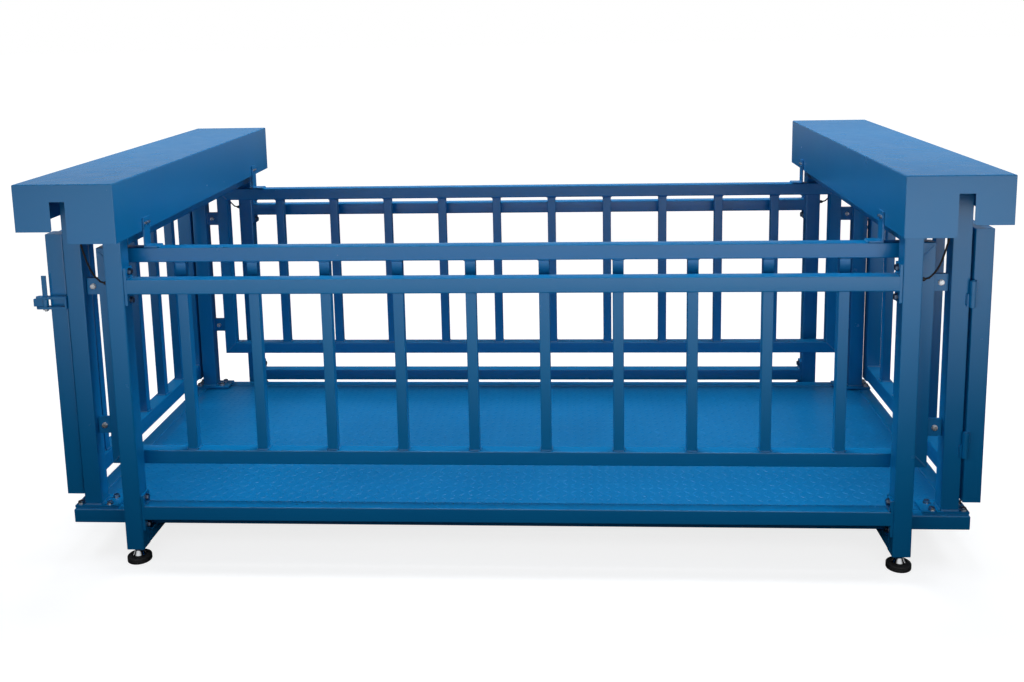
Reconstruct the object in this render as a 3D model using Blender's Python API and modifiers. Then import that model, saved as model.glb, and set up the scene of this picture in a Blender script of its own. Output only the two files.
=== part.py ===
"""Livestock scale: a crate that hangs on four load cells inside a standing frame.

X runs along the crate, the way the animals walk. The front is at -Y and Z is up.
The origin is on the floor, under the middle of the deck. All sizes are in metres.

The right end is built as it stands. The left end is the same end turned half round,
so that each gate is hinged on its own right hand, seen from outside.
"""

import math

import bmesh
import bpy
from mathutils import Matrix, Vector

# Gap between pieces that touch, how far a welded piece reaches into its neighbour, and how far
# its face stands back from the neighbour's.
GAP = 0.0003
WELD_IN = 0.003
WELD_STEP = 0.0005

# Floor clearance and levelling feet
POST_BOTTOM = 0.050
PAD_RADIUS = 0.040
PAD_HEIGHT = 0.020
PAD_EDGE = 0.003
CONE_BASE_RADIUS = 0.022
CONE_TOP_RADIUS = 0.013
CONE_HEIGHT = 0.022
STEM_RADIUS = 0.010
STEM_INSIDE_POST = 0.070
STEM_CLEARANCE = 0.0005
FOOT_PLATE = 0.006

# Deck
DECK_OVERHANG = 0.210
DECK_WIDTH = 1.300
DECK_BOTTOM = 0.105
DECK_TUBE = 0.050
CROSS_MEMBERS = 5
CROSS_MEMBER_HEIGHT = 0.042
TREAD_PLATE = 0.005

# Tubes
POST = 0.060
RAIL = 0.050
BAR = 0.035
WALL = 0.003
TUBE_CORNER = 0.005
BAR_CORNER = 0.003

# Standing frame
OUTER_POST_X = 1.230
OUTER_POST_CLEARANCE = 0.020
SIDE_BEAM_HEIGHT = 0.100
SIDE_BEAM_BOTTOM = 1.080
LOWER_SIDE_RAIL_HEIGHT = 0.040
UPPER_TIE_BOTTOM = 0.928
LOWER_TIE_BOTTOM = 0.153
TIE_SETBACK = 0.005
END_PLATE = 0.008
END_PLATE_HEIGHT = 0.125

# Hung crate
HANGER_END_MARGIN = 0.030
HANGER_SIDE_MARGIN = 0.020
BASE_PLATE_LENGTH = 0.150
BASE_PLATE_WIDTH = 0.090
BASE_PLATE_EDGE = 0.010
BASE_PLATE = 0.008
FENCE_OVER_DECK = 0.156
FENCE_UNDER_BEAM = 0.017
FENCE_END_GAP = 0.050
BARS = 10
BAR_PITCH = 0.240
TAB = 0.008
TAB_HEIGHT = 0.056
TAB_END_GAP = 0.002
UPPER_TAB_DROP = 0.135
LOWER_TAB_RISE = 0.130

# Load cells
CELL_FROM_HANGER = 0.150
CELL_SIDE = 0.038
CELL_PAD = 0.012
CELL_PAD_LENGTH = 0.050
CELL_OVERHANG = 0.008
CELL_CORNER = 0.0015
CELL_WAIST_LENGTH = 0.060
CELL_WAIST_DEPTH = 0.005
BUTTON_RADIUS = 0.015
BUTTON_HEIGHT = 0.0144

# Covers
COVER_INNER_LAP = 0.035
COVER_OUTER_LAP = 0.045
COVER_END_LAP = 0.105
COVER_SHEET = 0.002
COVER_FOLD = 0.004
INNER_SKIRT = 0.188
OUTER_SKIRT = 0.150
SLOT_FROM_INNER_SKIRT = 0.155
SLOT_WIDTH = 0.048
SLOT_HEADROOM = 0.055
SLOT_LIP = 0.008
SLOT_LIP_STEPS = 3
LIP_OVERRUN = 0.0002
STRAP = 0.005
STRAP_TOP_LAP = 0.043
STRAP_FOOT = 0.045

# Gates
GATE_GAP = 0.009
GATE_FREE_SETBACK = 0.020
GATE_OVER_DECK = 0.037
GATE_UNDER_COVER = 0.052
GATE_RAIL_INSET = 0.006
GATE_BARS = 5
HINGE_RADIUS = 0.010
HINGE_PIN_RADIUS = 0.005
HINGE_PIN_CLEARANCE = 0.0003
HINGE_HALF = 0.0425
HINGE_FACE_GAP = 0.0005
HINGE_STRIP = 0.010
HINGE_STRIP_SETBACK = 0.002
LOWER_HINGE_RISE = 0.202
UPPER_HINGE_DROP = 0.208

# Gate latches
LATCH_DROP = 0.228
LUG = 0.008
LUG_OPENING = 0.026
LUG_DEPTH = 0.024
LUG_BACK_PLATE = 0.006
LUG_REACH = 0.107
LUG_SWING_GAP = 0.004
LEVER_X_GAP = 0.007
LEVER_PIN_RADIUS = 0.005
LEVER_PIN_CLEARANCE = 0.0003
LEVER_HUB_RADIUS = 0.010
FINGER_LENGTH = 0.040
FINGER_WIDTH = 0.012
HANDLE_HEIGHT = 0.070
HANDLE_WIDTH = 0.016
HANDLE_THICKNESS = 0.006

# Load cell cables
CABLE_RADIUS = 0.003
GLAND_RADIUS = 0.008
GLAND_LENGTH = 0.012
GLAND_SIDES = 6
CABLE_ENTRY_DROP = 0.218

# Round pieces are cut to this many sides.
ROUND_STEPS = 24
SMALL_STEPS = 16

# Places that follow from the sizes above
DECK_LENGTH = 2 * (OUTER_POST_X + POST + DECK_OVERHANG)
DECK_TOP = DECK_BOTTOM + DECK_TUBE
CROSS_MEMBER_TOP = DECK_BOTTOM + CROSS_MEMBER_HEIGHT
PLATE_BOTTOM = DECK_TOP + GAP
PLATE_TOP = PLATE_BOTTOM + BASE_PLATE
OUTER_POST_Y = DECK_WIDTH / 2 + OUTER_POST_CLEARANCE + POST
HANGER_Y = DECK_WIDTH / 2 - HANGER_SIDE_MARGIN
HANGER_OUT = DECK_LENGTH / 2 - HANGER_END_MARGIN
HANGER_IN = HANGER_OUT - POST
SIDE_BEAM_TOP = SIDE_BEAM_BOTTOM + SIDE_BEAM_HEIGHT
CELL_Y = HANGER_Y - CELL_FROM_HANGER
CELL_BOTTOM = SIDE_BEAM_TOP + CELL_PAD + GAP
CELL_TOP = CELL_BOTTOM + CELL_SIDE
HANGER_TOP = CELL_TOP + GAP + BUTTON_HEIGHT
HANGER_BEAM_BOTTOM = HANGER_TOP + GAP
HANGER_BEAM_TOP = HANGER_BEAM_BOTTOM + POST
COVER_TOP = HANGER_BEAM_TOP + GAP + COVER_SHEET
COVER_INNER_X = OUTER_POST_X - COVER_INNER_LAP
COVER_OUTER_X = HANGER_OUT + COVER_OUTER_LAP
COVER_END_Y = OUTER_POST_Y + COVER_END_LAP
FENCE_END = HANGER_IN - FENCE_END_GAP
FENCE_BOTTOM = DECK_TOP + FENCE_OVER_DECK
FENCE_TOP = SIDE_BEAM_BOTTOM - FENCE_UNDER_BEAM
TAB_HEIGHTS = (FENCE_BOTTOM + LOWER_TAB_RISE, FENCE_TOP - UPPER_TAB_DROP)
GATE_IN = HANGER_OUT + GATE_GAP
GATE_OUT = GATE_IN + POST
GATE_FREE_Y = HANGER_Y - GATE_FREE_SETBACK
GATE_BOTTOM = DECK_TOP + GATE_OVER_DECK
GATE_TOP = COVER_TOP - OUTER_SKIRT - GATE_UNDER_COVER
HINGE_X = HANGER_OUT + GATE_GAP / 2
HINGE_Y = -HANGER_Y - HINGE_RADIUS - GAP
HINGE_HEIGHTS = (GATE_BOTTOM + LOWER_HINGE_RISE, GATE_TOP - UPPER_HINGE_DROP)
LATCH_Z = GATE_TOP - LATCH_DROP
LEVER_X = GATE_OUT + LEVER_X_GAP
LEVER_Y = GATE_FREE_Y + LUG_SWING_GAP + LUG_DEPTH / 2
LUG_FRONT = LEVER_Y - LUG_DEPTH / 2
LUG_REAR = LEVER_Y + LUG_DEPTH / 2
CABLE_DROP_Y = OUTER_POST_Y - POST / 2
CABLE_ENTRY_Z = SIDE_BEAM_TOP - CABLE_ENTRY_DROP


def clear_scene():
    """Removes what the file opened with."""
    for obj in list(bpy.data.objects):
        bpy.data.objects.remove(obj, do_unlink=True)


def make_collection(name):
    """A collection linked to the scene."""
    collection = bpy.data.collections.new(name)
    bpy.context.scene.collection.children.link(collection)
    return collection


def make_material(name, colour, roughness, metallic):
    """A Principled material."""
    made = bpy.data.materials.new(name)
    made.use_nodes = True
    shader = made.node_tree.nodes["Principled BSDF"]
    shader.inputs["Base Color"].default_value = (*colour, 1.0)
    shader.inputs["Roughness"].default_value = roughness
    shader.inputs["Metallic"].default_value = metallic
    made.diffuse_color = (*colour, 1.0)
    return made


clear_scene()
PARTS = make_collection("livestock_scale")
CUTTERS = make_collection("cutters")
BLUE_PAINT = make_material("blue_paint", (0.020, 0.130, 0.320), 0.45, 0.0)
RUBBER = make_material("rubber", (0.012, 0.012, 0.013), 0.80, 0.0)
CHROME = make_material("chrome", (0.780, 0.790, 0.800), 0.18, 1.0)
CELL_STEEL = make_material("cell_steel", (0.560, 0.570, 0.580), 0.35, 1.0)
CABLE_SHEATH = make_material("cable_sheath", (0.010, 0.010, 0.011), 0.60, 0.0)


def make_object(name, mesh, material, parent=None):
    """Adds a mesh to the parts as one named piece."""
    mesh.name = name
    mesh.materials.clear()
    mesh.materials.append(material)
    obj = bpy.data.objects.new(name, mesh)
    PARTS.objects.link(obj)
    obj.parent = parent
    return obj


def hide_as_cutter(obj):
    """Moves a piece to the cutters, which are not part of the object."""
    PARTS.objects.unlink(obj)
    CUTTERS.objects.link(obj)
    obj.hide_render = True
    obj.display_type = "WIRE"


def to_mesh(bm):
    """Turns a bmesh into a mesh and frees it."""
    bmesh.ops.recalc_face_normals(bm, faces=bm.faces)
    mesh = bpy.data.meshes.new("piece")
    bm.to_mesh(mesh)
    bm.free()
    return mesh


def box(name, low, high, material=None, parent=None, corner=0.0, along=None):
    """A box between two corners, with the edges along one axis rounded.

    Its origin is at its middle. Where along is None and corner is set, all edges are rounded.
    """
    low = Vector(low)
    high = Vector(high)
    size = high - low
    bm = bmesh.new()
    bmesh.ops.create_cube(bm, size=1.0)
    bmesh.ops.scale(bm, vec=size, verts=bm.verts)
    if corner:
        edges = list(bm.edges)
        if along is not None:
            axis = "XYZ".index(along)
            edges = [e for e in edges if abs((e.verts[0].co - e.verts[1].co)[axis]) > size[axis] / 2]
        bmesh.ops.bevel(bm, geom=edges, offset=corner, segments=2, profile=0.5, affect="EDGES")
    obj = make_object(name, to_mesh(bm), material or BLUE_PAINT, parent)
    obj.location = (low + high) / 2
    return obj


def mitred_frame(name, low, high, depth_axis, width, parent=None):
    """A frame of tube mitred at its four corners, lying square to depth_axis."""
    low = Vector(low)
    high = Vector(high)
    axis = "XYZ".index(depth_axis)
    bm = bmesh.new()
    bmesh.ops.create_cube(bm, size=1.0)
    bmesh.ops.scale(bm, vec=high - low, verts=bm.verts)
    inner = [f for f in bm.faces if abs(f.normal[axis]) > 0.5]
    for face in inner:
        bmesh.ops.inset_region(bm, faces=[face], thickness=width, use_even_offset=True)
    bmesh.ops.delete(bm, geom=inner, context="FACES")
    bmesh.ops.bridge_loops(bm, edges=[e for e in bm.edges if e.is_boundary])
    tube_edges = []
    for edge in bm.edges:
        run = edge.verts[1].co - edge.verts[0].co
        spans = [i for i in range(3) if abs(run[i]) > width / 10]
        if len(spans) == 1 and spans[0] != axis:
            tube_edges.append(edge)
    bmesh.ops.bevel(bm, geom=tube_edges, offset=TUBE_CORNER, segments=2, profile=0.5, affect="EDGES")
    obj = make_object(name, to_mesh(bm), BLUE_PAINT, parent)
    obj.location = (low + high) / 2
    return obj


def turned(name, profile, place, material, parent=None, steps=ROUND_STEPS):
    """A turned piece about Z: profile is (radius, height) pairs, top to bottom on the outer side."""
    bm = bmesh.new()
    verts = [bm.verts.new((radius, 0.0, height)) for radius, height in profile]
    for first, second in zip(verts, verts[1:]):
        bm.edges.new((first, second))
    mesh = bpy.data.meshes.new("profile")
    bm.to_mesh(mesh)
    bm.free()
    obj = make_object(name, mesh, material, parent)
    obj.location = place
    screw = obj.modifiers.new("turn", "SCREW")
    screw.axis = "Z"
    screw.angle = 2 * math.pi
    screw.steps = steps
    screw.render_steps = steps
    screw.use_merge_vertices = True
    screw.merge_threshold = 0.0001
    return obj


def cylinder(name, radius, low, high, material=None, parent=None, axis="Z", steps=SMALL_STEPS):
    """A round bar between two points that lie one above the other, or one beyond the other along X."""
    low = Vector(low)
    high = Vector(high)
    bm = bmesh.new()
    bmesh.ops.create_cone(
        bm, cap_ends=True, segments=steps, radius1=radius, radius2=radius, depth=(high - low).length
    )
    if axis == "X":
        bmesh.ops.rotate(bm, matrix=Matrix.Rotation(math.pi / 2, 3, "Y"), verts=bm.verts)
    obj = make_object(name, to_mesh(bm), material or BLUE_PAINT, parent)
    obj.location = (low + high) / 2
    return obj


def prism(name, outline, low_y, high_y, parent=None):
    """An upright outline of (x, z) points, drawn out along Y."""
    bm = bmesh.new()
    loops = [[bm.verts.new((x, y, z)) for x, z in outline] for y in (low_y, high_y)]
    for loop in loops:
        bm.faces.new(loop)
    for index in range(len(outline)):
        after = (index + 1) % len(outline)
        bm.faces.new((loops[0][index], loops[0][after], loops[1][after], loops[1][index]))
    return make_object(name, to_mesh(bm), BLUE_PAINT, parent)


def boolean(target, other, operation):
    """Joins or cuts with the exact solver, and hides the other piece."""
    modifier = target.modifiers.new(operation.lower(), "BOOLEAN")
    modifier.operation = operation
    modifier.solver = "EXACT"
    modifier.object = other
    hide_as_cutter(other)


def weld(target, pieces):
    """Welds pieces to a target as one body."""
    for piece in pieces:
        boolean(target, piece, "UNION")


def cut(target, pieces):
    """Cuts pieces out of a target."""
    for piece in pieces:
        boolean(target, piece, "DIFFERENCE")


def set_origin(obj, place):
    """Moves an object's origin, with its mesh left where it is. Only for objects without rotation."""
    shift = obj.location - Vector(place)
    obj.data.transform(Matrix.Translation(shift))
    obj.location = place


def tube(name, low, high, along, parent=None, closed_low=0.0):
    """A square or oblong tube with open ends. closed_low leaves a plate of that thickness at its low end."""
    axis = "XYZ".index(along)
    obj = box(name, low, high, parent=parent, corner=TUBE_CORNER, along=along)
    inner_low = Vector(low) + Vector((WALL, WALL, WALL))
    inner_high = Vector(high) - Vector((WALL, WALL, WALL))
    inner_low[axis] = low[axis] + closed_low if closed_low else low[axis] - WALL
    inner_high[axis] = high[axis] + WALL
    return obj, box(name + "_hollow", inner_low, inner_high, parent=parent)


def side_span(sign, near, far):
    """The two ends of a span on the negative (-1) or positive (+1) side, low value first."""
    return tuple(sorted((sign * near, sign * far)))


def build_foot(name, sign, parent):
    """A levelling foot: rubber pad, chrome cone and stem, screwed up into the post."""
    place = (OUTER_POST_X + POST / 2, sign * (OUTER_POST_Y - POST / 2), 0.0)
    pad_profile = [
        (0.0, PAD_HEIGHT),
        (PAD_RADIUS - 2 * PAD_EDGE, PAD_HEIGHT),
        (PAD_RADIUS, PAD_HEIGHT - PAD_EDGE),
        (PAD_RADIUS, PAD_EDGE),
        (PAD_RADIUS - PAD_EDGE, 0.0),
        (0.0, 0.0),
    ]
    turned("foot_pad_" + name, pad_profile, place, RUBBER, parent)
    base = PAD_HEIGHT + GAP
    stem_top = POST_BOTTOM + STEM_INSIDE_POST
    stem_profile = [
        (0.0, stem_top),
        (STEM_RADIUS, stem_top),
        (STEM_RADIUS, base + CONE_HEIGHT),
        (CONE_TOP_RADIUS, base + CONE_HEIGHT - PAD_EDGE),
        (CONE_BASE_RADIUS, base + PAD_EDGE),
        (CONE_BASE_RADIUS, base),
        (0.0, base),
    ]
    turned("foot_stem_" + name, stem_profile, place, CHROME, parent)


def build_outer_post(name, sign, parent):
    """A standing post: open at its top, with a foot plate that the stem screws through."""
    y_low, y_high = side_span(sign, OUTER_POST_Y - POST, OUTER_POST_Y)
    low = (OUTER_POST_X, y_low, POST_BOTTOM)
    high = (OUTER_POST_X + POST, y_high, SIDE_BEAM_TOP)
    post, hollow = tube("outer_post_" + name, low, high, "Z", parent, FOOT_PLATE)
    middle = (OUTER_POST_X + POST / 2, sign * (OUTER_POST_Y - POST / 2))
    bore = cylinder(
        post.name + "_bore", STEM_RADIUS + STEM_CLEARANCE, (*middle, POST_BOTTOM - WALL),
        (*middle, POST_BOTTOM + FOOT_PLATE + WALL), parent=parent, steps=ROUND_STEPS,
    )
    outer_x = OUTER_POST_X + POST
    cable_y = sign * CABLE_DROP_Y
    cable_hole = cylinder(
        post.name + "_cable_hole", CABLE_RADIUS + GAP, (outer_x - 2 * WALL, cable_y, CABLE_ENTRY_Z),
        (outer_x + WALL, cable_y, CABLE_ENTRY_Z), parent=parent, axis="X",
    )
    cut(post, [hollow, bore, cable_hole])


def build_side_members(end, parent):
    """The beam that carries two load cells, and the low rail that ties the two posts."""
    inner_y = OUTER_POST_Y - POST - GAP
    low = (OUTER_POST_X, -inner_y, SIDE_BEAM_BOTTOM)
    high = (OUTER_POST_X + POST, inner_y, SIDE_BEAM_TOP)
    beam, hollow = tube("top_side_beam_" + end, low, high, "Y", parent)
    pads = []
    for sign in (-1, 1):
        y_low, y_high = side_span(sign, CELL_Y - CELL_SIDE / 2, CELL_Y + CELL_SIDE / 2)
        x_low = OUTER_POST_X + (POST - CELL_PAD_LENGTH) / 2
        pads.append(
            box("cell_pad", (x_low, y_low, SIDE_BEAM_TOP - WALL / 2),
                (x_low + CELL_PAD_LENGTH, y_high, SIDE_BEAM_TOP + CELL_PAD), parent=parent)
        )
    weld(beam, pads)
    cut(beam, [hollow])
    low = (OUTER_POST_X, -inner_y, POST_BOTTOM)
    high = (OUTER_POST_X + POST, inner_y, POST_BOTTOM + LOWER_SIDE_RAIL_HEIGHT)
    rail, hollow = tube("lower_side_rail_" + end, low, high, "Y", parent)
    cut(rail, [hollow])


def build_load_cell(name, sign, parent):
    """A shear beam cell on its pad, with a load button at its free end."""
    x_low = OUTER_POST_X + (POST - CELL_PAD_LENGTH) / 2
    x_high = (HANGER_IN + HANGER_OUT) / 2 + BUTTON_RADIUS + CELL_OVERHANG / 2
    y_low, y_high = side_span(sign, CELL_Y - CELL_SIDE / 2, CELL_Y + CELL_SIDE / 2)
    cell = box("load_cell_" + name, (x_low, y_low, CELL_BOTTOM), (x_high, y_high, CELL_TOP), CELL_STEEL,
               parent, corner=CELL_CORNER, along="X")
    waist_low = (x_low + x_high - CELL_WAIST_LENGTH) / 2
    waist_high = waist_low + CELL_WAIST_LENGTH
    pockets = []
    for face in (y_low, y_high):
        pockets.append(
            box("waist", (waist_low, face - CELL_WAIST_DEPTH, CELL_BOTTOM + CELL_WAIST_DEPTH),
                (waist_high, face + CELL_WAIST_DEPTH, CELL_TOP - CELL_WAIST_DEPTH), parent=parent)
        )
    cut(cell, pockets)
    button_x = (HANGER_IN + HANGER_OUT) / 2
    profile = [
        (0.0, BUTTON_HEIGHT),
        (BUTTON_RADIUS * 0.6, BUTTON_HEIGHT),
        (BUTTON_RADIUS, BUTTON_HEIGHT * 0.6),
        (BUTTON_RADIUS, 0.0),
        (0.0, 0.0),
    ]
    place = (button_x, sign * CELL_Y, CELL_TOP + GAP)
    turned("load_button_" + name, profile, place, CHROME, parent, SMALL_STEPS)


def hinge_half(name, outward, low_z, high_z, parent):
    """A hinge barrel and the strip that welds it to the post (outward -1) or to the gate (outward +1)."""
    reaches = (HINGE_STRIP_SETBACK, GATE_GAP / 2 + HINGE_STRIP)
    strip_x = sorted(HINGE_X + outward * reach for reach in reaches)
    strip = box(name + "_strip", (strip_x[0], HINGE_Y + HINGE_STRIP_SETBACK, low_z + WELD_STEP),
                (strip_x[1], -HANGER_Y + WALL / 2, high_z - WELD_STEP), parent=parent)
    barrel = cylinder(name + "_barrel", HINGE_RADIUS, (HINGE_X, HINGE_Y, low_z), (HINGE_X, HINGE_Y, high_z),
                      parent=parent)
    return [strip, barrel]


def build_hanger_post(name, sign, parent, hinged):
    """A hanging post on its base plate, with the tabs for the fence and any fixed hinge halves."""
    y_low, y_high = side_span(sign, HANGER_Y - POST, HANGER_Y)
    low = (HANGER_IN, y_low, PLATE_TOP - WELD_IN)
    high = (HANGER_OUT, y_high, HANGER_TOP)
    post, hollow = tube("hanger_post_" + name, low, high, "Z", parent, WELD_IN)
    plate_y = side_span(sign, HANGER_Y + BASE_PLATE_EDGE - BASE_PLATE_WIDTH, HANGER_Y + BASE_PLATE_EDGE)
    deck_end = DECK_LENGTH / 2
    plate = box("base_plate", (deck_end - BASE_PLATE_LENGTH, plate_y[0], PLATE_BOTTOM),
                (deck_end, plate_y[1], PLATE_TOP), parent=parent)
    pieces = [plate]
    tab_y = side_span(sign, HANGER_Y - POST / 2 - TAB, HANGER_Y - POST / 2)
    for middle in TAB_HEIGHTS:
        pieces.append(
            box("tab", (FENCE_END + TAB_END_GAP, tab_y[0], middle - TAB_HEIGHT / 2),
                (HANGER_IN + WALL / 2, tab_y[1], middle + TAB_HEIGHT / 2), parent=parent)
        )
    if hinged:
        for middle in HINGE_HEIGHTS:
            low_z = middle - HINGE_HALF - HINGE_FACE_GAP / 2
            high_z = middle - HINGE_FACE_GAP / 2
            pieces += hinge_half("hinge", -1, low_z, high_z, parent)
            pieces.append(
                cylinder("hinge_pin", HINGE_PIN_RADIUS, (HINGE_X, HINGE_Y, low_z + WELD_IN),
                         (HINGE_X, HINGE_Y, high_z + HINGE_HALF - HINGE_FACE_GAP), parent=parent)
            )
    weld(post, pieces)
    cut(post, [hollow])


def build_hanger_beam(end, parent):
    """The beam on the two hanging posts: it rests on the load buttons and carries the cover."""
    low = (HANGER_IN, -HANGER_Y, HANGER_BEAM_BOTTOM)
    high = (HANGER_OUT, HANGER_Y, HANGER_BEAM_TOP)
    beam, hollow = tube("hanger_beam_" + end, low, high, "Y", parent)
    cut(beam, [hollow])


def slot_outline(bottom):
    """What is cut from the cover's ends, seen along Y: the lipped slot, and all below the outer skirt."""
    near = COVER_INNER_X + SLOT_FROM_INNER_SKIRT
    far = near + SLOT_WIDTH
    outer_bottom = COVER_TOP - OUTER_SKIRT
    turn = math.pi / 2 / SLOT_LIP_STEPS
    outline = [(near - SLOT_LIP, bottom - 2 * WALL)]
    for step in range(SLOT_LIP_STEPS + 1):
        outline.append((near - SLOT_LIP + SLOT_LIP * math.sin(step * turn),
                        bottom - LIP_OVERRUN + SLOT_LIP - SLOT_LIP * math.cos(step * turn)))
    outline += [(near, COVER_TOP - SLOT_HEADROOM), (far, COVER_TOP - SLOT_HEADROOM)]
    for step in range(SLOT_LIP_STEPS + 1):
        outline.append((far + SLOT_LIP - SLOT_LIP * math.cos(step * turn),
                        outer_bottom + SLOT_LIP - SLOT_LIP * math.sin(step * turn)))
    return outline + [(COVER_OUTER_X + WALL, outer_bottom), (COVER_OUTER_X + WALL, bottom - 2 * WALL)]


def build_cover(end, parent):
    """A folded sheet cover, open below, with a slot in each end and a shorter outer skirt."""
    bottom = COVER_TOP - INNER_SKIRT
    cover = box("cover_" + end, (COVER_INNER_X, -COVER_END_Y, bottom),
                (COVER_OUTER_X, COVER_END_Y, COVER_TOP), parent=parent)
    bm = bmesh.new()
    bm.from_mesh(cover.data)
    folded = [e for e in bm.edges if max(v.co.z for v in e.verts) > 0]
    bmesh.ops.bevel(bm, geom=folded, offset=COVER_FOLD, segments=2, profile=0.5, affect="EDGES")
    bm.to_mesh(cover.data)
    bm.free()
    inside = box("cover_inside", (COVER_INNER_X + COVER_SHEET, -COVER_END_Y + COVER_SHEET, bottom - WALL),
                 (COVER_OUTER_X - COVER_SHEET, COVER_END_Y - COVER_SHEET, COVER_TOP - COVER_SHEET),
                 parent=parent)
    slot = prism("cover_slot", slot_outline(bottom), -COVER_END_Y - WALL, COVER_END_Y + WALL, parent)
    cut(cover, [inside, slot])


def build_strap(name, sign, parent):
    """An angle strap from the top rail of the fence to the inner skirt of the cover."""
    y_low, y_high = side_span(sign, HANGER_Y - RAIL, HANGER_Y)
    bottom = FENCE_TOP + GAP
    top = COVER_TOP - INNER_SKIRT + STRAP_TOP_LAP
    face = COVER_INNER_X - GAP
    strap = box("cover_strap_" + name, (face - STRAP, y_low, bottom), (face, y_high, top), parent=parent)
    foot = box("strap_foot", (face - STRAP_FOOT, y_low, bottom), (face - STRAP / 2, y_high, bottom + STRAP),
               parent=parent)
    weld(strap, [foot])


def build_gate(end, parent):
    """A gate of five bars, with its hinge halves, built round its hinge axis."""
    inner_low = -HANGER_Y + POST
    inner_high = GATE_FREE_Y - POST
    gate = box("gate_" + end, (GATE_IN, -HANGER_Y, GATE_BOTTOM), (GATE_OUT, inner_low, GATE_TOP),
               parent=parent, corner=TUBE_CORNER, along="Z")
    stile = box("free_stile", (GATE_IN, inner_high, GATE_BOTTOM), (GATE_OUT, GATE_FREE_Y, GATE_TOP),
                parent=parent, corner=TUBE_CORNER, along="Z")
    pieces = [stile]
    for bottom in (GATE_BOTTOM + GATE_RAIL_INSET, GATE_TOP - GATE_RAIL_INSET - POST):
        pieces.append(
            box("gate_rail", (GATE_IN + WELD_STEP, inner_low - 2 * WELD_IN, bottom),
                (GATE_OUT - WELD_STEP, inner_high + 2 * WELD_IN, bottom + POST),
                parent=parent, corner=TUBE_CORNER, along="Y")
        )
    pitch = (inner_high - inner_low + BAR) / (GATE_BARS + 1)
    x_middle = (GATE_IN + GATE_OUT) / 2
    for number in range(1, GATE_BARS + 1):
        y_middle = inner_low - BAR / 2 + number * pitch
        pieces.append(
            box("gate_bar", (x_middle - BAR / 2, y_middle - BAR / 2, GATE_BOTTOM + POST),
                (x_middle + BAR / 2, y_middle + BAR / 2, GATE_TOP - POST),
                parent=parent, corner=BAR_CORNER, along="Z")
        )
    bores = []
    for middle in HINGE_HEIGHTS:
        low_z = middle + HINGE_FACE_GAP / 2
        high_z = low_z + HINGE_HALF
        pieces += hinge_half("gate_hinge", 1, low_z, high_z, parent)
        bores.append(
            cylinder("gate_hinge_bore", HINGE_PIN_RADIUS + HINGE_PIN_CLEARANCE,
                     (HINGE_X, HINGE_Y, low_z - WALL), (HINGE_X, HINGE_Y, high_z + WALL), parent=parent)
        )
    weld(gate, pieces)
    cut(gate, bores)
    set_origin(gate, (HINGE_X, HINGE_Y, 0.0))


def build_latch(end, parent):
    """Two lugs on the post with a turning lever between them."""
    low_lug = LATCH_Z - LUG_OPENING / 2
    high_lug = LATCH_Z + LUG_OPENING / 2
    back_x = HANGER_OUT + GAP
    bracket = box("latch_bracket_" + end, (back_x, HANGER_Y - POST / 2, low_lug - LUG),
                  (back_x + LUG_BACK_PLATE, LUG_REAR, high_lug + LUG), parent=parent)
    lugs = []
    for bottom in (low_lug - LUG, high_lug):
        lug = box("latch_lug", (back_x + LUG_BACK_PLATE / 2, LUG_FRONT, bottom),
                  (HANGER_OUT + LUG_REACH - LUG_DEPTH / 2, LUG_REAR, bottom + LUG), parent=parent)
        nose_x = HANGER_OUT + LUG_REACH - LUG_DEPTH / 2
        nose = cylinder("lug_nose", LUG_DEPTH / 2, (nose_x, LEVER_Y, bottom), (nose_x, LEVER_Y, bottom + LUG),
                        parent=parent, steps=ROUND_STEPS)
        lugs += [lug, nose]
    weld(bracket, lugs)
    bore = cylinder("lug_bore", LEVER_PIN_RADIUS + LEVER_PIN_CLEARANCE, (LEVER_X, LEVER_Y, low_lug - 2 * LUG),
                    (LEVER_X, LEVER_Y, high_lug + 2 * LUG), parent=parent)
    cut(bracket, [bore])
    lever = cylinder("latch_lever_" + end, LEVER_HUB_RADIUS, (LEVER_X, LEVER_Y, low_lug + GAP),
                     (LEVER_X, LEVER_Y, high_lug - GAP), parent=parent, steps=ROUND_STEPS)
    finger = box("finger", (LEVER_X, LEVER_Y - FINGER_WIDTH / 2, low_lug + 2 * GAP),
                 (LEVER_X + FINGER_LENGTH, LEVER_Y + FINGER_WIDTH / 2, high_lug - 2 * GAP), parent=parent,
                 corner=BAR_CORNER, along="Z")
    pin = cylinder("lever_pin", LEVER_PIN_RADIUS, (LEVER_X, LEVER_Y, low_lug - LUG),
                   (LEVER_X, LEVER_Y, high_lug + 2 * LUG), parent=parent)
    handle_bottom = high_lug + LUG + GAP
    handle = box("handle", (LEVER_X - HANDLE_WIDTH / 2, LEVER_Y - HANDLE_THICKNESS / 2, handle_bottom),
                 (LEVER_X + HANDLE_WIDTH / 2, LEVER_Y + HANDLE_THICKNESS / 2, handle_bottom + HANDLE_HEIGHT),
                 parent=parent, corner=BAR_CORNER / 2, along="Z")
    weld(lever, [finger, pin, handle])
    set_origin(lever, (LEVER_X, LEVER_Y, 0.0))


def smooth_route(points, spacing):
    """Points of a smooth curve through the route's points, about spacing apart."""
    points = [Vector(p) for p in points]
    padded = [2 * points[0] - points[1]] + points + [2 * points[-1] - points[-2]]
    made = []
    for before, start, end, after in zip(padded, padded[1:], padded[2:], padded[3:]):
        count = max(1, round((end - start).length / spacing))
        for step in range(count):
            t = step / count
            made.append(
                0.5 * (2 * start + (end - before) * t + (2 * before - 5 * start + 4 * end - after) * t ** 2
                       + (3 * start - before - 3 * end + after) * t ** 3)
            )
    return made + [points[-1]]


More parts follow.
